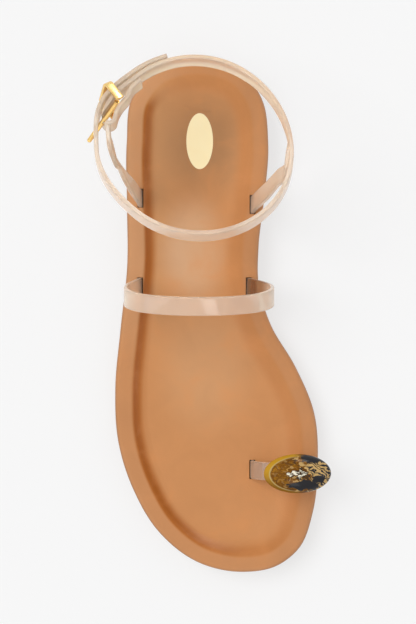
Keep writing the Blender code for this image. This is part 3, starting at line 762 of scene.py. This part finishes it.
def makeAnkleStrap():
    ring = bars("ankleStrap", [anklePath()], strapSizes(ankle["width"]), clearLook)
    tabSizes = strapSizes(ankle["tabWidth"])
    tabs = []
    for name, hand in (("medial", 1), ("lateral", -1)):
        path = tabPath(ankle[name + "Tab"], ankle[name + "Join"], hand, ankle[name + "Turn"],
                       ankle.get(name + "Square"))
        tabs.append(bars(name + "Tab", [path], tabSizes, clearLook))
    combine(ring, "UNION", *tabs)
    side = upright.cross(prongRun).normalized()
    lift = prongRun.cross(side)
    turn = Matrix((prongRun, side, lift)).transposed().to_4x4()
    room = buckle["prongRadius"] + buckle["room"]
    place = prongRoot + prongRun * (buckle["notchStart"] + buckle["notchLength"] / 2)
    place += lift * (buckle["notchHeight"] / 2 - room)
    notchSize = (buckle["notchLength"], 2 * room, buckle["notchHeight"])
    notch = block("notch", notchSize, Matrix.Translation(place) @ turn)
    holeStart = prongRoot + prongRun * buckle["holeStart"]
    holeLength = (prongTip - holeStart).length + buckle["holeBeyondTip"]
    hole = rod("hole", room, holeLength, holeStart, prongRun)
    combine(ring, "DIFFERENCE", notch, hole)
    return ring


# Footbed: section rows are (lateral inset, medial inset, height) from the underside over the rim to the pan
footbed = {
    "section": [
        (1.2, 1.2, 0), (0.3, 0.3, 0.7), (0, 0, 2.2), (0, 0, 6), (0.5, 0.5, 7.2), (1.6, 1.6, 7.9),
        (2.8, 2.8, 8.05), (6.2, 6.6, 8.1), (7.4, 8, 8.1), (8.6, 10, 7.7), (10, 13, 6.5), (11.6, 16.6, 5.4),
        (13.6, 20.6, 4.9),
    ],
    "sectionSteps": 4,
    "panCentre": 4.5,
    "panRings": 12,
    "archRise": 1.4 * mm,
    "archMiddle": 92 * mm,
    "archReach": 48 * mm,
    "archSide": 26 * mm,
    "cupRise": 1.2 * mm,  # lift of the pan towards the back of the heel
    "cup": (8 * mm, 48 * mm),
    "slotPlay": 0.25 * mm,
    "slotDepth": 60 * mm,
}
slots = [  # across, along, strap width
    *((*ankle[tab][0][:2], ankle["tabWidth"]) for tab in ("lateralTab", "medialTab")),
    *((piece["arch"][end][0], piece["along"], piece["width"]) for piece in (instep, toe) for end in (0, -1)),
]


def panLift(point):
    along = sole["heelBack"] - point.y
    near = 1 - ease(abs(along - footbed["archMiddle"]) / footbed["archReach"])
    cup = footbed["cupRise"] * fade(*footbed["cup"], along)
    return footbed["archRise"] * near * ease(point.x / footbed["archSide"]) + cup


def makeFootbed():
    rows = smoothCurve([Vector(row) for row in footbed["section"]], footbed["sectionSteps"])
    under = insetRing(*rows[0].xy)
    rings = [atHeight(towardSpine(under, share), 0) for share in reversed(sole["fillShares"])]
    rim = max(rows, key=lambda row: row.z)
    for lateral, medial, height in rows:
        sunk = (rim.z - height) / (rim.z - rows[-1].z) if lateral > rim.x else 0
        ring = insetRing(max(lateral, 0), max(medial, 0))
        rings.append(atHeight(ring, height, sunk))
    wall = insetRing(*rows[-1].xy)
    for i in range(1, footbed["panRings"] + 1):
        share = i / footbed["panRings"]
        height = rows[-1].z + (footbed["panCentre"] - rows[-1].z) * share
        rings.append(atHeight(towardSpine(wall, share), height, liftShare=1))
    bed = makeObject("footbedLeather", loft(rings))
    cutters = []
    for across, along, width in slots:
        opening = strap["thickness"] + 2 * gap + footbed["slotPlay"]
        place = planPoint(across, along).to_3d()
        place.x -= math.copysign(footbed["slotPlay"] / 2, across)
        size = (opening, width + 2 * gap, footbed["slotDepth"])
        cutters.append(block("slot", size, Matrix.Translation(place)))
    combine(bed, "DIFFERENCE", *cutters)
    return bed


# Tones that follow the moulded shape, kept as attributes of the leather's own mesh
zones = {
    "outlinePoints": 900,  # on each side, to measure distances from
    "rimEnd": (7.2, 9),  # distances from the edge, in millimetres
    # the groove's darker tone is painted shade on the pan's lateral wall, which faces away from the key, with
    # some of the leather's own burnish
    "grooveStart": (7.6, 9.2),
    "grooveEnd": (10.6, 15),
    "heelShift": 0.8,  # all three are this much nearer the edge at the heel
    "toeShift": 1.2,  # and at the toe
    "toeGroove": 0.4,  # depth of the groove's tone at the toe
    "heelGroove": 0.95,  # and at the heel
    "heelEnd": (50, 95),
    "heelTurn": (0.35, 0.75),  # the groove's tone fades as the edge turns to the heel's back
    "warmStart": (6, 8.5),
    "warmEnd": (11.5, 17),
    "paleAcross": (-22, -2),  # the lateral side is paler, from the heel to the waist
    "paleAlong": (105, 150),
    "sideTop": (5.6, 7.2),  # height above the seat
    "lateralSide": 0.95,  # higher by this on the lateral side
    "sideDepth": 2.5,
    "spotCore": 0.25,
    "heelShade": (4, 41, 28, 33),  # across, along, half width, half length
    "waistLight": (-2, 92, 20, 34),
    "ballLight": (4, 148, 30, 42),
}


def storeZones(bed):
    fine, inward, _ = soleOutline(zones["outlinePoints"])
    tree = KDTree(len(fine))
    for i, point in enumerate(fine):
        tree.insert(point.to_3d(), i)
    tree.balance()
    spots = ("heelShade", "waistLight", "ballLight")
    shares = {name: [] for name in ("rimShare", "grooveShade", "warmBand", "sideShare", "paleSide", *spots)}
    for vertex in bed.data.vertices:
        place = vertex.co
        nearest = tree.find((place.x, place.y, 0))
        edge = nearest[2] / mm
        inside = inward[nearest[1]]
        height = (place.z - seatHeight(place.y)) / mm
        along = (sole["heelBack"] - place.y) / mm
        lateral = min(1, max(0, inside.x) + zones["toeGroove"] * max(0, inside.y))
        heel = fade(*zones["heelEnd"], along)
        moved = edge + zones["heelShift"] * heel + zones["toeShift"] * max(0, inside.y)
        # painted shade of the lateral wall in the groove, partly the leather's own burnish
        grooveShade = between(*zones["grooveStart"], moved) * fade(*zones["grooveEnd"], moved)
        grooveShade *= (1 - (1 - zones["heelGroove"]) * heel) * fade(*zones["heelTurn"], -inside.y)
        warm = between(*zones["warmStart"], edge) * fade(*zones["warmEnd"], edge)
        pale = fade(*zones["paleAcross"], place.x / mm) * fade(*zones["paleAlong"], along)
        shares["paleSide"].append(pale)
        shares["rimShare"].append(fade(*zones["rimEnd"], moved))
        shares["grooveShade"].append(grooveShade * lateral)
        shares["warmBand"].append(warm * (1 - lateral))
        height -= zones["lateralSide"] * max(0, inside.x)
        shares["sideShare"].append(fade(*zones["sideTop"], height) if edge < zones["sideDepth"] else 0)
        for name in spots:
            across, middle, halfAcross, halfAlong = zones[name]
            reach = math.hypot((place.x / mm - across) / halfAcross, (along - middle) / halfAlong)
            shares[name].append(fade(zones["spotCore"], 1, reach))
    storeShares(bed, shares)


# Outsole: section rows are (inset, height below the seat); its underside is recessed for the tread's ribs
outsole = {
    "inset": 0.8,
    "section": [(2, -4), (0.9, -3.3), (0.4, -2.2), (0.4, -0.3)],
    "border": 4.4,
    "step": 0.5,
    "recess": 0.7,
    "heelBreast": 58 * mm,
    "keptBehindBreast": 6 * mm,
    "ribZones": [(10, 50), (122, 237)],  # along
    "ribSpacing": 4.2,
    "ribWidth": 2 * mm,
    "ribSink": 0.3 * mm,
    "ribWave": 1.2 * mm,
    "ribPeriod": 11 * mm,
    "ribPoint": 1.6 * mm,
    "ribEndGap": 0.6 * mm,
    "ribLeastSteps": 4,
    "ribEdge": 0.3 * mm,
    "ribEdgePoints": 2,
}


def heelPlan(ring, breastY):
    # the part of a ring behind the heel's breast, closed by the breast's straight line
    half = len(ring) // 2
    keepY = sole["heelBack"] - outsole["heelBreast"] + outsole["keptBehindBreast"]
    kept = [i for i in range(-half + 1, half) if outline[0][i].y > keepY]
    corners = []
    for index, step in ((kept[0], -1), (kept[-1], 1)):
        while ring[index + step].y > breastY:
            index += step
        share = (breastY - ring[index].y) / (ring[index + step].y - ring[index].y)
        corners.append(ring[index].lerp(ring[index + step], share))
    return [corners[0]] + [ring[i] for i in kept] + [corners[1]]


def crossings(ring, y):
    found = []
    for start, end in zip(ring, ring[1:] + ring[:1]):
        if (start.y - y) * (end.y - y) < 0:
            found.append(start.lerp(end, (y - start.y) / (end.y - start.y)).x)
    return min(found), max(found)


def ribPaths(recessRing):
    barHeight = outsole["recess"] * mm + outsole["ribSink"]
    paths = []
    for start, end in outsole["ribZones"]:
        count = int((end - start) / outsole["ribSpacing"])
        for row in range(count + 1):
            along = (start + row * outsole["ribSpacing"]) * mm
            y = sole["heelBack"] - along
            low, high = crossings(recessRing, y)
            low += outsole["ribEndGap"]
            high -= outsole["ribEndGap"]
            steps = max(outsole["ribLeastSteps"], int((high - low) / outsole["ribPoint"]))
            path = []
            for i in range(steps + 1):
                x = low + (high - low) * i / steps
                place = y + outsole["ribWave"] * math.sin(2 * math.pi * x / outsole["ribPeriod"])
                onHeel = along < outsole["heelBreast"]
                ground = 0 if onHeel else seatHeight(place) + outsole["section"][0][1] * mm
                path.append((Vector((x, place, ground + barHeight / 2)), Vector((0, 0, 1))))
            paths.append(path)
    return paths, barHeight


def makeOutsole():
    section = [(inset + outsole["inset"], height) for inset, height in outsole["section"]]
    groundInset, ground = section[0]
    borderInset = groundInset + outsole["border"]
    recessInset = borderInset + outsole["step"]
    plans = [insetRing(inset, inset) for inset, _ in section]
    border = insetRing(borderInset, borderInset)
    recessRing = insetRing(recessInset, recessInset)
    floorHeight = ground + outsole["recess"]
    inFirst = (*reversed(sole["fillShares"]), 0)
    rings = [atHeight(towardSpine(recessRing, share), floorHeight) for share in inFirst]
    rings.append(atHeight(border, ground))
    rings += [atHeight(plan, height) for plan, (_, height) in zip(plans, section)]
    rings += [atHeight(towardSpine(plans[-1], share), section[-1][1]) for share in sole["fillShares"]]
    made = makeObject("outsoleRubber", loft(rings))

    breastY = sole["heelBack"] - outsole["heelBreast"]
    edgeHeight = (section[1][1] - ground) * mm
    top = sole["heelSeat"] + (section[1][1] + section[2][1]) / 2 * mm
    borderY = breastY + outsole["border"] * mm
    recessY = borderY + outsole["step"] * mm
    levels = [
        (recessRing, recessY, outsole["recess"] * mm), (border, borderY, 0), (plans[0], breastY, 0),
        (plans[1], breastY, edgeHeight), (plans[1], breastY, top),
    ]
    rings = [[Vector((p.x, p.y, height)) for p in heelPlan(ring, y)] for ring, y, height in levels]
    heel = makeObject("heelBlock", loft(rings, capped=True))
    combine(made, "UNION", heel)

    paths, barHeight = ribPaths(recessRing)
    sizes = {"Width": barHeight, "Thickness": outsole["ribWidth"], "Edge Radius": outsole["ribEdge"],
             "Edge Points": outsole["ribEdgePoints"]}
    ribs = bars("ribs", paths, sizes, rubberLook)
    joined = bmesh.new()
    joined.from_mesh(made.data)
    joined.from_mesh(ribs.data)
    joined.to_mesh(made.data)
    joined.free()
    bpy.data.objects.remove(ribs, do_unlink=True)
    shade(made.data)
    return made


def storeStrapShades(piece):
    # darker towards the slots, brown in the instep strap's medial leg, paler in the ankle ring, and painted
    # light on its overlapping layers and lateral tab
    shades = {"slotShade": [], "legShade": [], "ringShare": [], "layerLight": []}
    isAnkle = piece.name == "ankleStrap"
    for vertex in piece.data.vertices:
        height = (vertex.co.z - seatHeight(vertex.co.y)) / mm
        inLeg = piece.name == "instepStrap" and vertex.co.x > 0
        shades["slotShade"].append(fade(*strap["slotShade"], height))
        legShare = fade(*strap["legShade"], height) if inLeg else 0
        shades["legShade"].append(strap["toeShade"] if piece.name == "toeStrap" else legShare)
        shades["ringShare"].append(between(*strap["ringPale"], height) if isAnkle else 0)
        inBack = between(*strap["layerBack"], vertex.co.y / mm)
        inTab = fade(*strap["layerTab"], height)
        lateral = between(*strap["layerSide"], -vertex.co.x / mm)
        shades["layerLight"].append(lateral * max(inBack, inTab) if isAnkle else 0)
    storeShares(piece, shades)


# Toe stone: an oval cabochon, hollowed underneath to sit on the toe strap
stone = {
    "halfLength": 16.2 * mm,
    "halfWidth": 9.3 * mm,
    "dome": 6.6 * mm,
    "belly": 3 * mm,
    "place": spacePoint(47.3, 197.9, 31.3),
    "tilt": math.radians(9),
    "segments": 80,
    "rings": 40,
}


def makeStone():
    meshData = bmesh.new()
    bmesh.ops.create_uvsphere(meshData, u_segments=stone["segments"], v_segments=stone["rings"], radius=1)
    turn = Matrix.Translation(stone["place"]) @ Matrix.Rotation(stone["tilt"], 4, "Y")
    for vertex in meshData.verts:
        depth = stone["dome"] if vertex.co.z > 0 else stone["belly"]
        size = Matrix.Diagonal((stone["halfLength"], stone["halfWidth"], depth, 1))
        vertex.co = turn @ size @ vertex.co
    made = makeObject("toeStone", meshData)
    seat = bars("stoneSeat", [toePath()], strapSizes(toe["width"], gap), resinLook)
    combine(made, "DIFFERENCE", seat)
    return made


# Plain oval of gold foil pressed into the heel of the foot pan
foil = {
    "shader": {"Metallic": 0.35},
    "grain": {"Grain Scale": 1500.0, "Cloud Scale": 120.0, "Cloud Amount": 0.1},
    "marks": {"Scale": 700.0, "Lowest": 0.3, "Highest": 0.46},
    "bump": (0.06 * mm, 0.4),
    "place": planPoint(0.9, 39.3),
    "halfWidth": 6.4 * mm,
    "halfLength": 13.4 * mm,
    "pale": (1.0, 0.86, 0.54),
    "warm": (0.98, 0.80, 0.45),
    "stand": 0.06 * mm,
    "root": 0.2 * mm,
    "rings": 10,
    "segments": 72,
}


def makeFoil(bed):
    vertices = [vertex.co for vertex in bed.data.vertices]
    surface = BVHTree.FromPolygons(vertices, [list(face.vertices) for face in bed.data.polygons])
    down = Vector((0, 0, -1))
    rings = []
    for i in range(foil["rings"], 0, -1):
        ring = []
        for j in range(foil["segments"]):
            angle = 2 * math.pi * j / foil["segments"]
            share = i / foil["rings"]
            x = foil["place"].x + foil["halfWidth"] * share * math.cos(angle)
            y = foil["place"].y + foil["halfLength"] * share * math.sin(angle)
            ground = surface.ray_cast(Vector((x, y, footbedHigh.z + mm)), down)[0]
            ring.append(ground + Vector((0, 0, foil["stand"])))
        rings.append(ring)
    skirt = [point - Vector((0, 0, foil["stand"] + foil["root"])) for point in rings[0]]
    return makeObject("heelFoil", loft([skirt] + rings, capped=True))


# Finishes: "shader" is the same all over, "bump" is depth and strength, and a range is the value read,
# from and to, and then the result, from and to, where that isn't 0 to 1
leather = {
    "shader": {"Specular IOR Level": 0.36, "Coat Weight": 0.05, "Coat Roughness": 0.3},
    "grain": {"Grain Scale": 1500.0, "Cloud Scale": 55.0, "Cloud Amount": 0.22},
    "bump": (0.06 * mm, 0.6),
    "roughness": (0.3, 0.7, 0.5, 0.4),
    "pan": (0.575, 0.25, 0.088),
    "panZones": {
        "ballLight": (0.60, 0.295, 0.125),
        "waistLight": (0.66, 0.37, 0.195),
        "heelShade": (0.43, 0.205, 0.080),
    },
    "pale": (1.01, 1.12, 1.26),  # multiplies the pan's tone on the lateral side
    "rim": (0.54, 0.237, 0.090),
    "rimPale": (0.575, 0.28, 0.124),
    "edgeZones": {
        "warmBand": (0.535, 0.215, 0.066),
        # the groove's tone is painted shade on the pan's lateral wall, partly the leather's own burnish
        "grooveShade": (0.40, 0.108, 0.002),
        "sideShare": (0.40, 0.175, 0.062),
    },
    "blush": (0.60, 0.24, 0.075),
    "blushRange": (0.48, 0.75, 0.0, 0.35),
}


def leatherFinish():
    finish, tree, shader = newFinish("tanLeather", leather["shader"])
    grain = useGroup(tree, grainNodes, leather["grain"])
    paleSide = attribute(tree, "paleSide")
    colour = paintZones(tree, leather["pan"], leather["panZones"])
    colour = mixColour(tree, paleSide, colour, leather["pale"], "MULTIPLY")
    rimColour = mixColour(tree, paleSide, leather["rim"], leather["rimPale"])
    colour = mixColour(tree, attribute(tree, "rimShare"), colour, rimColour)
    colour = paintZones(tree, colour, leather["edgeZones"])
    colour = mixColour(tree, mapRange(tree, grain["Cloud"], *leather["blushRange"]), colour, leather["blush"])
    tone = addNode(tree, "ShaderNodeCombineColor", dict.fromkeys(range(3), grain["Tone"])).outputs[0]
    feed(tree, shader, {
        "Base Color": mixColour(tree, 1.0, colour, tone, "MULTIPLY"),
        "Roughness": mapRange(tree, grain["Cloud"], *leather["roughness"]),
        "Normal": bump(tree, grain["Height"], *leather["bump"])})
    return finish


rubber = {
    "shader": {"Specular IOR Level": 0.35},
    "grain": {"Grain Scale": 900.0, "Cloud Scale": 40.0, "Cloud Amount": 0.2},
    "bump": (0.08 * mm, 0.5),
    "roughness": (0.3, 0.7, 0.62, 0.78),
    "dark": (0.26, 0.13, 0.06),
    "light": (0.36, 0.19, 0.09),
}


def rubberFinish():
    finish, tree, shader = newFinish("soleRubber", rubber["shader"])
    grain = useGroup(tree, grainNodes, rubber["grain"])
    feed(tree, shader, {
        "Base Color": mixColour(tree, grain["Cloud"], rubber["dark"], rubber["light"]),
        "Roughness": mapRange(tree, grain["Cloud"], *rubber["roughness"]),
        "Normal": bump(tree, grain["Height"], *rubber["bump"])})
    return finish


clear = {
    "shader": {
        "Transmission Weight": 0.64, "IOR": 1.46, "Coat Weight": 0.25, "Coat Roughness": 0.03,
        "Coat IOR": 1.5, "Sheen Weight": 0.45, "Sheen Roughness": 0.5,
        "Sheen Tint": (1.0, 0.86, 0.70, 1.0),  # soft light along the edges
    },
    "grain": {"Grain Scale": 260.0, "Cloud Scale": 90.0, "Cloud Amount": 0.2},
    "marks": {"Scale": 500.0, "Lowest": 0.07, "Highest": 0.16},
    "bump": (0.015 * mm, 0.25),
    "tint": (0.93, 0.745, 0.575),
    "cloudTint": (0.95, 0.80, 0.65),
    "zones": {
        "ringShare": (0.985, 0.83, 0.68),
        # painted light on the ankle strap's overlapping layers and lateral tab, which lie in shade
        "layerLight": (1.0, 0.885, 0.745),
        "slotShade": (0.46, 0.32, 0.22),
        "legShade": (0.40, 0.17, 0.06),
    },
}


def clearFinish():
    finish, tree, shader = newFinish("clearNude", clear["shader"])
    grain = useGroup(tree, grainNodes, clear["grain"])
    colour = mixColour(tree, grain["Cloud"], clear["tint"], clear["cloudTint"])
    feed(tree, shader, {
        "Base Color": paintZones(tree, colour, clear["zones"]),
        "Roughness": useGroup(tree, handlingNodes, clear["marks"])["Roughness"],
        "Normal": bump(tree, grain["Height"], *clear["bump"])})
    return finish


gold = {
    "shader": {"Metallic": 1.0},
    "marks": {"Scale": 900.0, "Lowest": 0.1, "Highest": 0.24},
    "bump": (0.01 * mm, 0.3),
    "cloudScale": 300.0,
    "bright": (0.96, 0.70, 0.30),
    "deep": (0.86, 0.55, 0.19),
}


def goldFinish():
    finish, tree, shader = newFinish("lightGold", gold["shader"])
    marks = useGroup(tree, handlingNodes, gold["marks"])
    cloud = noise(tree, objectPlace(tree), gold["cloudScale"], Detail=3.0)["Fac"]
    feed(tree, shader, {
        "Base Color": mixColour(tree, cloud, gold["bright"], gold["deep"]),
        "Roughness": marks["Roughness"],
        "Normal": bump(tree, marks["Height"], *gold["bump"])})
    return finish


def foilFinish():
    finish, tree, shader = newFinish("paleFoil", foil["shader"])
    grain = useGroup(tree, grainNodes, foil["grain"])
    feed(tree, shader, {
        "Base Color": mixColour(tree, grain["Cloud"], foil["pale"], foil["warm"]),
        "Roughness": useGroup(tree, handlingNodes, foil["marks"])["Roughness"],
        "Normal": bump(tree, grain["Height"], *foil["bump"])})
    return finish


# Resin: marks are (across, along, half width, half length) as shares of the stone's own half sizes
resin = {
    "shader": {"Specular IOR Level": 0.06, "Coat Weight": 0.15, "Coat Roughness": 0.03},
    "marks": {"Scale": 600.0, "Lowest": 0.16, "Highest": 0.26},
    "mustard": (0.52, 0.28, 0.018),
    "rimDeep": (0.26, 0.115, 0.006),
    "amber": (0.16, 0.056, 0.002),
    "fleck": (0.46, 0.20, 0.005),
    "brown": (0.045, 0.024, 0.010),
    "slate": (0.024, 0.023, 0.026),
    "ochre": (0.62, 0.40, 0.15),
    "cream": (0.92, 0.86, 0.68),
    # painted reflection along the inside of the lateral rim
    "rimReflection": (0.52, 0.38, 0.14),
    "warp": (0.6, 0.6, 0),
    "swirlScale": 3.2,
    "fleckScale": 7.0,
    "chipScale": 11.0,
    "bandScale": 3.2,
    "slateMarks": [(0.13, -0.55, 0.50, 0.27), (0.36, 0.84, 0.30, 0.25), (0.62, -0.28, 0.22, 0.16)],
    "creamMarks": [
        (-0.29, 0.02, 0.07, 0.10), (-0.12, 0.07, 0.06, 0.10), (0.08, 0.02, 0.10, 0.15),
        (-0.01, 0.20, 0.07, 0.06), (0.02, -0.17, 0.09, 0.05),
    ],
    "creamBorder": 1.3,  # size of the brown round each of them
    "ochreMarks": [(0.34, 0.30, 0.17, 0.30), (0.62, 0.22, 0.15, 0.34), (0.62, -0.62, 0.16, 0.16)],
    "ranges": {
        "markEdge": (1.06, 0.9), "fleck": (0.45, 0.68), "darkChip": (0.62, 0.66), "paleChip": (0.7, 0.74),
        "chipped": (-0.6, 0.1, 0.15, 0.85), "medial": (0.3, 0.5), "streak": (0.55, 0.75),
        "vein": (0.36, 0.24), "veined": (0.1, 0.3), "broken": (0.47, 0.53), "line": (0.83, 0.87),
        "lineSide": (0.1, -0.5), "rim": (0.86, 0.9), "rimSide": (0.2, -0.2), "rimTone": (-0.75, 0.35),
    },
}


def resinFinish():
    finish, tree, shader = newFinish("marbledResin", resin["shader"])
    place = addNode(tree, "ShaderNodeMapping", {
        "Vector": objectPlace(tree), "Location": stone["place"], "Rotation": (0, stone["tilt"], 0),
        "Scale": (stone["halfLength"], stone["halfWidth"], stone["dome"])}, vector_type="TEXTURE").outputs[0]
    axes = addNode(tree, "ShaderNodeSeparateXYZ", {"Vector": place}).outputs
    across = axes["X"]
    flat = addNode(tree, "ShaderNodeCombineXYZ", {0: across, 1: axes["Y"]}).outputs[0]
    swirl = noise(tree, flat, resin["swirlScale"], Detail=3.0)["Color"]
    pull = vectorNode(tree, "SUBTRACT", swirl, (noiseMiddle, noiseMiddle, noiseMiddle))
    warped = vectorNode(tree, "ADD", flat, vectorNode(tree, "MULTIPLY", pull, resin["warp"]))

    def ramp(value, name):
        return mapRange(tree, value, *resin["ranges"][name])

    def both(first, second):
        return mathNode(tree, "MULTIPLY", first, second)

    def marks(spots, grow=1.0):
        total = None
        for middle, along, halfWidth, halfLength in spots:
            moved = addNode(tree, "ShaderNodeMapping", {
                "Vector": warped, "Location": (middle, along, 0),
                "Scale": (halfWidth * grow, halfLength * grow, 1)}, vector_type="TEXTURE").outputs[0]
            share = ramp(vectorNode(tree, "LENGTH", moved), "markEdge")
            total = mathNode(tree, "MAXIMUM", total, share) if total else share
        return total

    fine = noise(tree, warped, resin["fleckScale"], Detail=7.0, Roughness=0.8)["Fac"]
    chips = addNode(tree, "ShaderNodeTexVoronoi", {
        "Vector": warped, "Scale": resin["chipScale"], "Randomness": 1.0}).outputs["Color"]
    chipTone = addNode(tree, "ShaderNodeSeparateColor", {"Color": chips}).outputs
    chipped = ramp(across, "chipped")
    bands = addNode(tree, "ShaderNodeTexWave", {
        "Vector": warped, "Scale": resin["bandScale"], "Distortion": 4.5, "Detail": 4.0},
        bands_direction="DIAGONAL").outputs["Fac"]
    medial = ramp(across, "medial")
    rim = vectorNode(tree, "LENGTH", flat)
    rimColour = mixColour(tree, ramp(axes["Y"], "rimTone"), resin["rimDeep"], resin["mustard"])
    layers = [
        # amber ground with small dark and bright flecks
        (ramp(fine, "fleck"), resin["fleck"]),
        (both(ramp(chipTone[0], "darkChip"), chipped), resin["brown"]),
        (both(ramp(chipTone[1], "paleChip"), chipped), resin["ochre"]),
        # the medial end is banded, with the larger marks over it
        (medial, resin["slate"]),
        (marks(resin["ochreMarks"]), resin["ochre"]),
        (both(ramp(bands, "streak"), medial), resin["ochre"]),
        (both(ramp(bands, "vein"), ramp(across, "veined")), resin["slate"]),
        (marks(resin["slateMarks"]), resin["slate"]),
        (marks(resin["creamMarks"], resin["creamBorder"]), resin["brown"]),
        (both(marks(resin["creamMarks"]), ramp(fine, "broken")), resin["cream"]),
        # clear mustard rim at the lateral end, behind a thin pale line that is a painted reflection
        (both(ramp(rim, "line"), ramp(across, "lineSide")), resin["rimReflection"]),
        (both(ramp(rim, "rim"), ramp(across, "rimSide")), rimColour),
    ]
    colour = resin["amber"]
    for share, tone in layers:
        colour = mixColour(tree, share, colour, tone)
    feed(tree, shader, {
        "Base Color": colour, "Roughness": useGroup(tree, handlingNodes, resin["marks"])["Roughness"]})
    return finish


leatherLook = leatherFinish()
rubberLook = rubberFinish()
clearLook = clearFinish()
goldLook = goldFinish()
resinLook = resinFinish()
foilLook = foilFinish()
print("finishes made:", len(bpy.data.materials))


def dressStrap(piece, node):
    storeStrapShades(piece)
    dress(piece, clearLook, "clear_nude", node)


dress(makeOutsole(), rubberLook, "sole_rubber", "outsole")
bed = makeFootbed()
storeZones(bed)
dress(bed, leatherLook, "footbed_leather", "footbed")
dress(makeFoil(bed), foilLook, "gold_metal")
dressStrap(bars("instepStrap", [instepPath()], strapSizes(instep["width"]), clearLook), "instep_strap")
dressStrap(bars("toeStrap", [toePath()], strapSizes(toe["width"]), clearLook), "toe_strap")
dressStrap(makeAnkleStrap(), "ankle_strap")
dress(makeStone(), resinLook, "amber_resin", "toe_stone")
dress(makeBuckleLoop(), goldLook, "gold_metal", "buckle_loop")
dress(makeBuckleProng(), goldLook, "gold_metal", "buckle_prong")

# Studio: pale floor, soft key from above the heel's lateral side, and boxes that matt surfaces don't see
studio = {
    "floorHalf": 8.0,
    "floorGap": 0.05 * mm,
    "floor": {
        "Roughness": 0.9, "Specular IOR Level": 0.1, "Base Color": (0.25, 0.25, 0.25, 1),
        "Emission Color": (1, 1, 1, 1), "Emission Strength": 0.678,
    },
    "worldTop": (1.0, 1.0, 1.0),
    "worldSide": (0.75, 0.76, 0.78),
    "worldBlend": (0.1, 0.9),
    "worldStrength": 1.0,  # as gloss and clear plastic see it
    "worldShade": 0.62,  # as matt surfaces do
    "sunFrom": Vector((-0.55, 0.24, 1.0)),
    "sunSpread": math.radians(38),
    "sunStrength": 1.55,
    "cameraPlace": Vector((4.9 * mm, -87.3 * mm, 1.3)),
    "frameHeight": 299.5 * mm,  # length seen at the rim's height
    "rimHeight": 15 * mm,
    "boxes": [  # direction from the shoe, width, height, power
        (Vector((0.16, -0.72, 0.72)), 0.34, 1.0, 2.4),
        (Vector((-0.80, -0.45, 0.40)), 0.6, 1.2, 2.4),
        (Vector((0.95, -0.12, 0.28)), 0.8, 1.2, 4),
        (Vector((0.34, 0.87, 0.36)), 0.5, 0.5, 5),
    ],
    "boxDistance": 1.6,
}
shoeMiddle = (cadBox[0] + cadBox[1]) / 2


def makeFloor():
    meshData = bmesh.new()
    bmesh.ops.create_grid(meshData, x_segments=1, y_segments=1, size=studio["floorHalf"])
    floor = makeObject("floor", meshData)
    floor.location.z = cadBox[0].z - studio["floorGap"]
    floor.data.materials.append(newFinish("paleFloor", studio["floor"])[0])


def makeLights():
    world = bpy.data.worlds.new("studio")
    bpy.context.scene.world = world
    world.use_nodes = True
    tree = world.node_tree
    up = addNode(tree, "ShaderNodeSeparateXYZ", {0: addNode(tree, "ShaderNodeTexCoord").outputs["Generated"]})
    share = mapRange(tree, up.outputs["Z"], *studio["worldBlend"])
    matt = addNode(tree, "ShaderNodeLightPath").outputs["Is Diffuse Ray"]
    strengths = (studio["worldStrength"], studio["worldShade"])
    feed(tree, tree.nodes["Background"], {
        "Color": mixColour(tree, share, studio["worldSide"], studio["worldTop"]),
        "Strength": mapRange(tree, matt, 0.0, 1.0, *strengths, "LINEAR")})

    sun = bpy.data.lights.new("key", "SUN")
    sun.energy = studio["sunStrength"]
    sun.angle = studio["sunSpread"]
    key = addObject("key", sun)
    key.rotation_euler = studio["sunFrom"].to_track_quat("Z", "Y").to_euler()
    key.visible_glossy = False  # the boxes alone make the highlights
    for direction, width, height, power in studio["boxes"]:
        light = bpy.data.lights.new("softBox", "AREA")
        light.shape = "RECTANGLE"
        light.size = width
        light.size_y = height
        light.energy = power
        box = addObject("softBox", light)
        box.location = shoeMiddle + direction.normalized() * studio["boxDistance"]
        box.rotation_euler = direction.to_track_quat("Z", "Y").to_euler()
        box.visible_camera = False
        box.visible_diffuse = False


def makeCamera():
    lens = bpy.data.cameras.new("camera")
    distance = studio["cameraPlace"].z - studio["rimHeight"]
    lens.lens = lens.sensor_width * distance / studio["frameHeight"]
    camera = addObject("camera", lens)
    camera.location = studio["cameraPlace"]
    bpy.context.scene.camera = camera


makeFloor()
makeLights()
makeCamera()
bpy.context.scene.view_settings.view_transform = "Standard"
print("studio made")
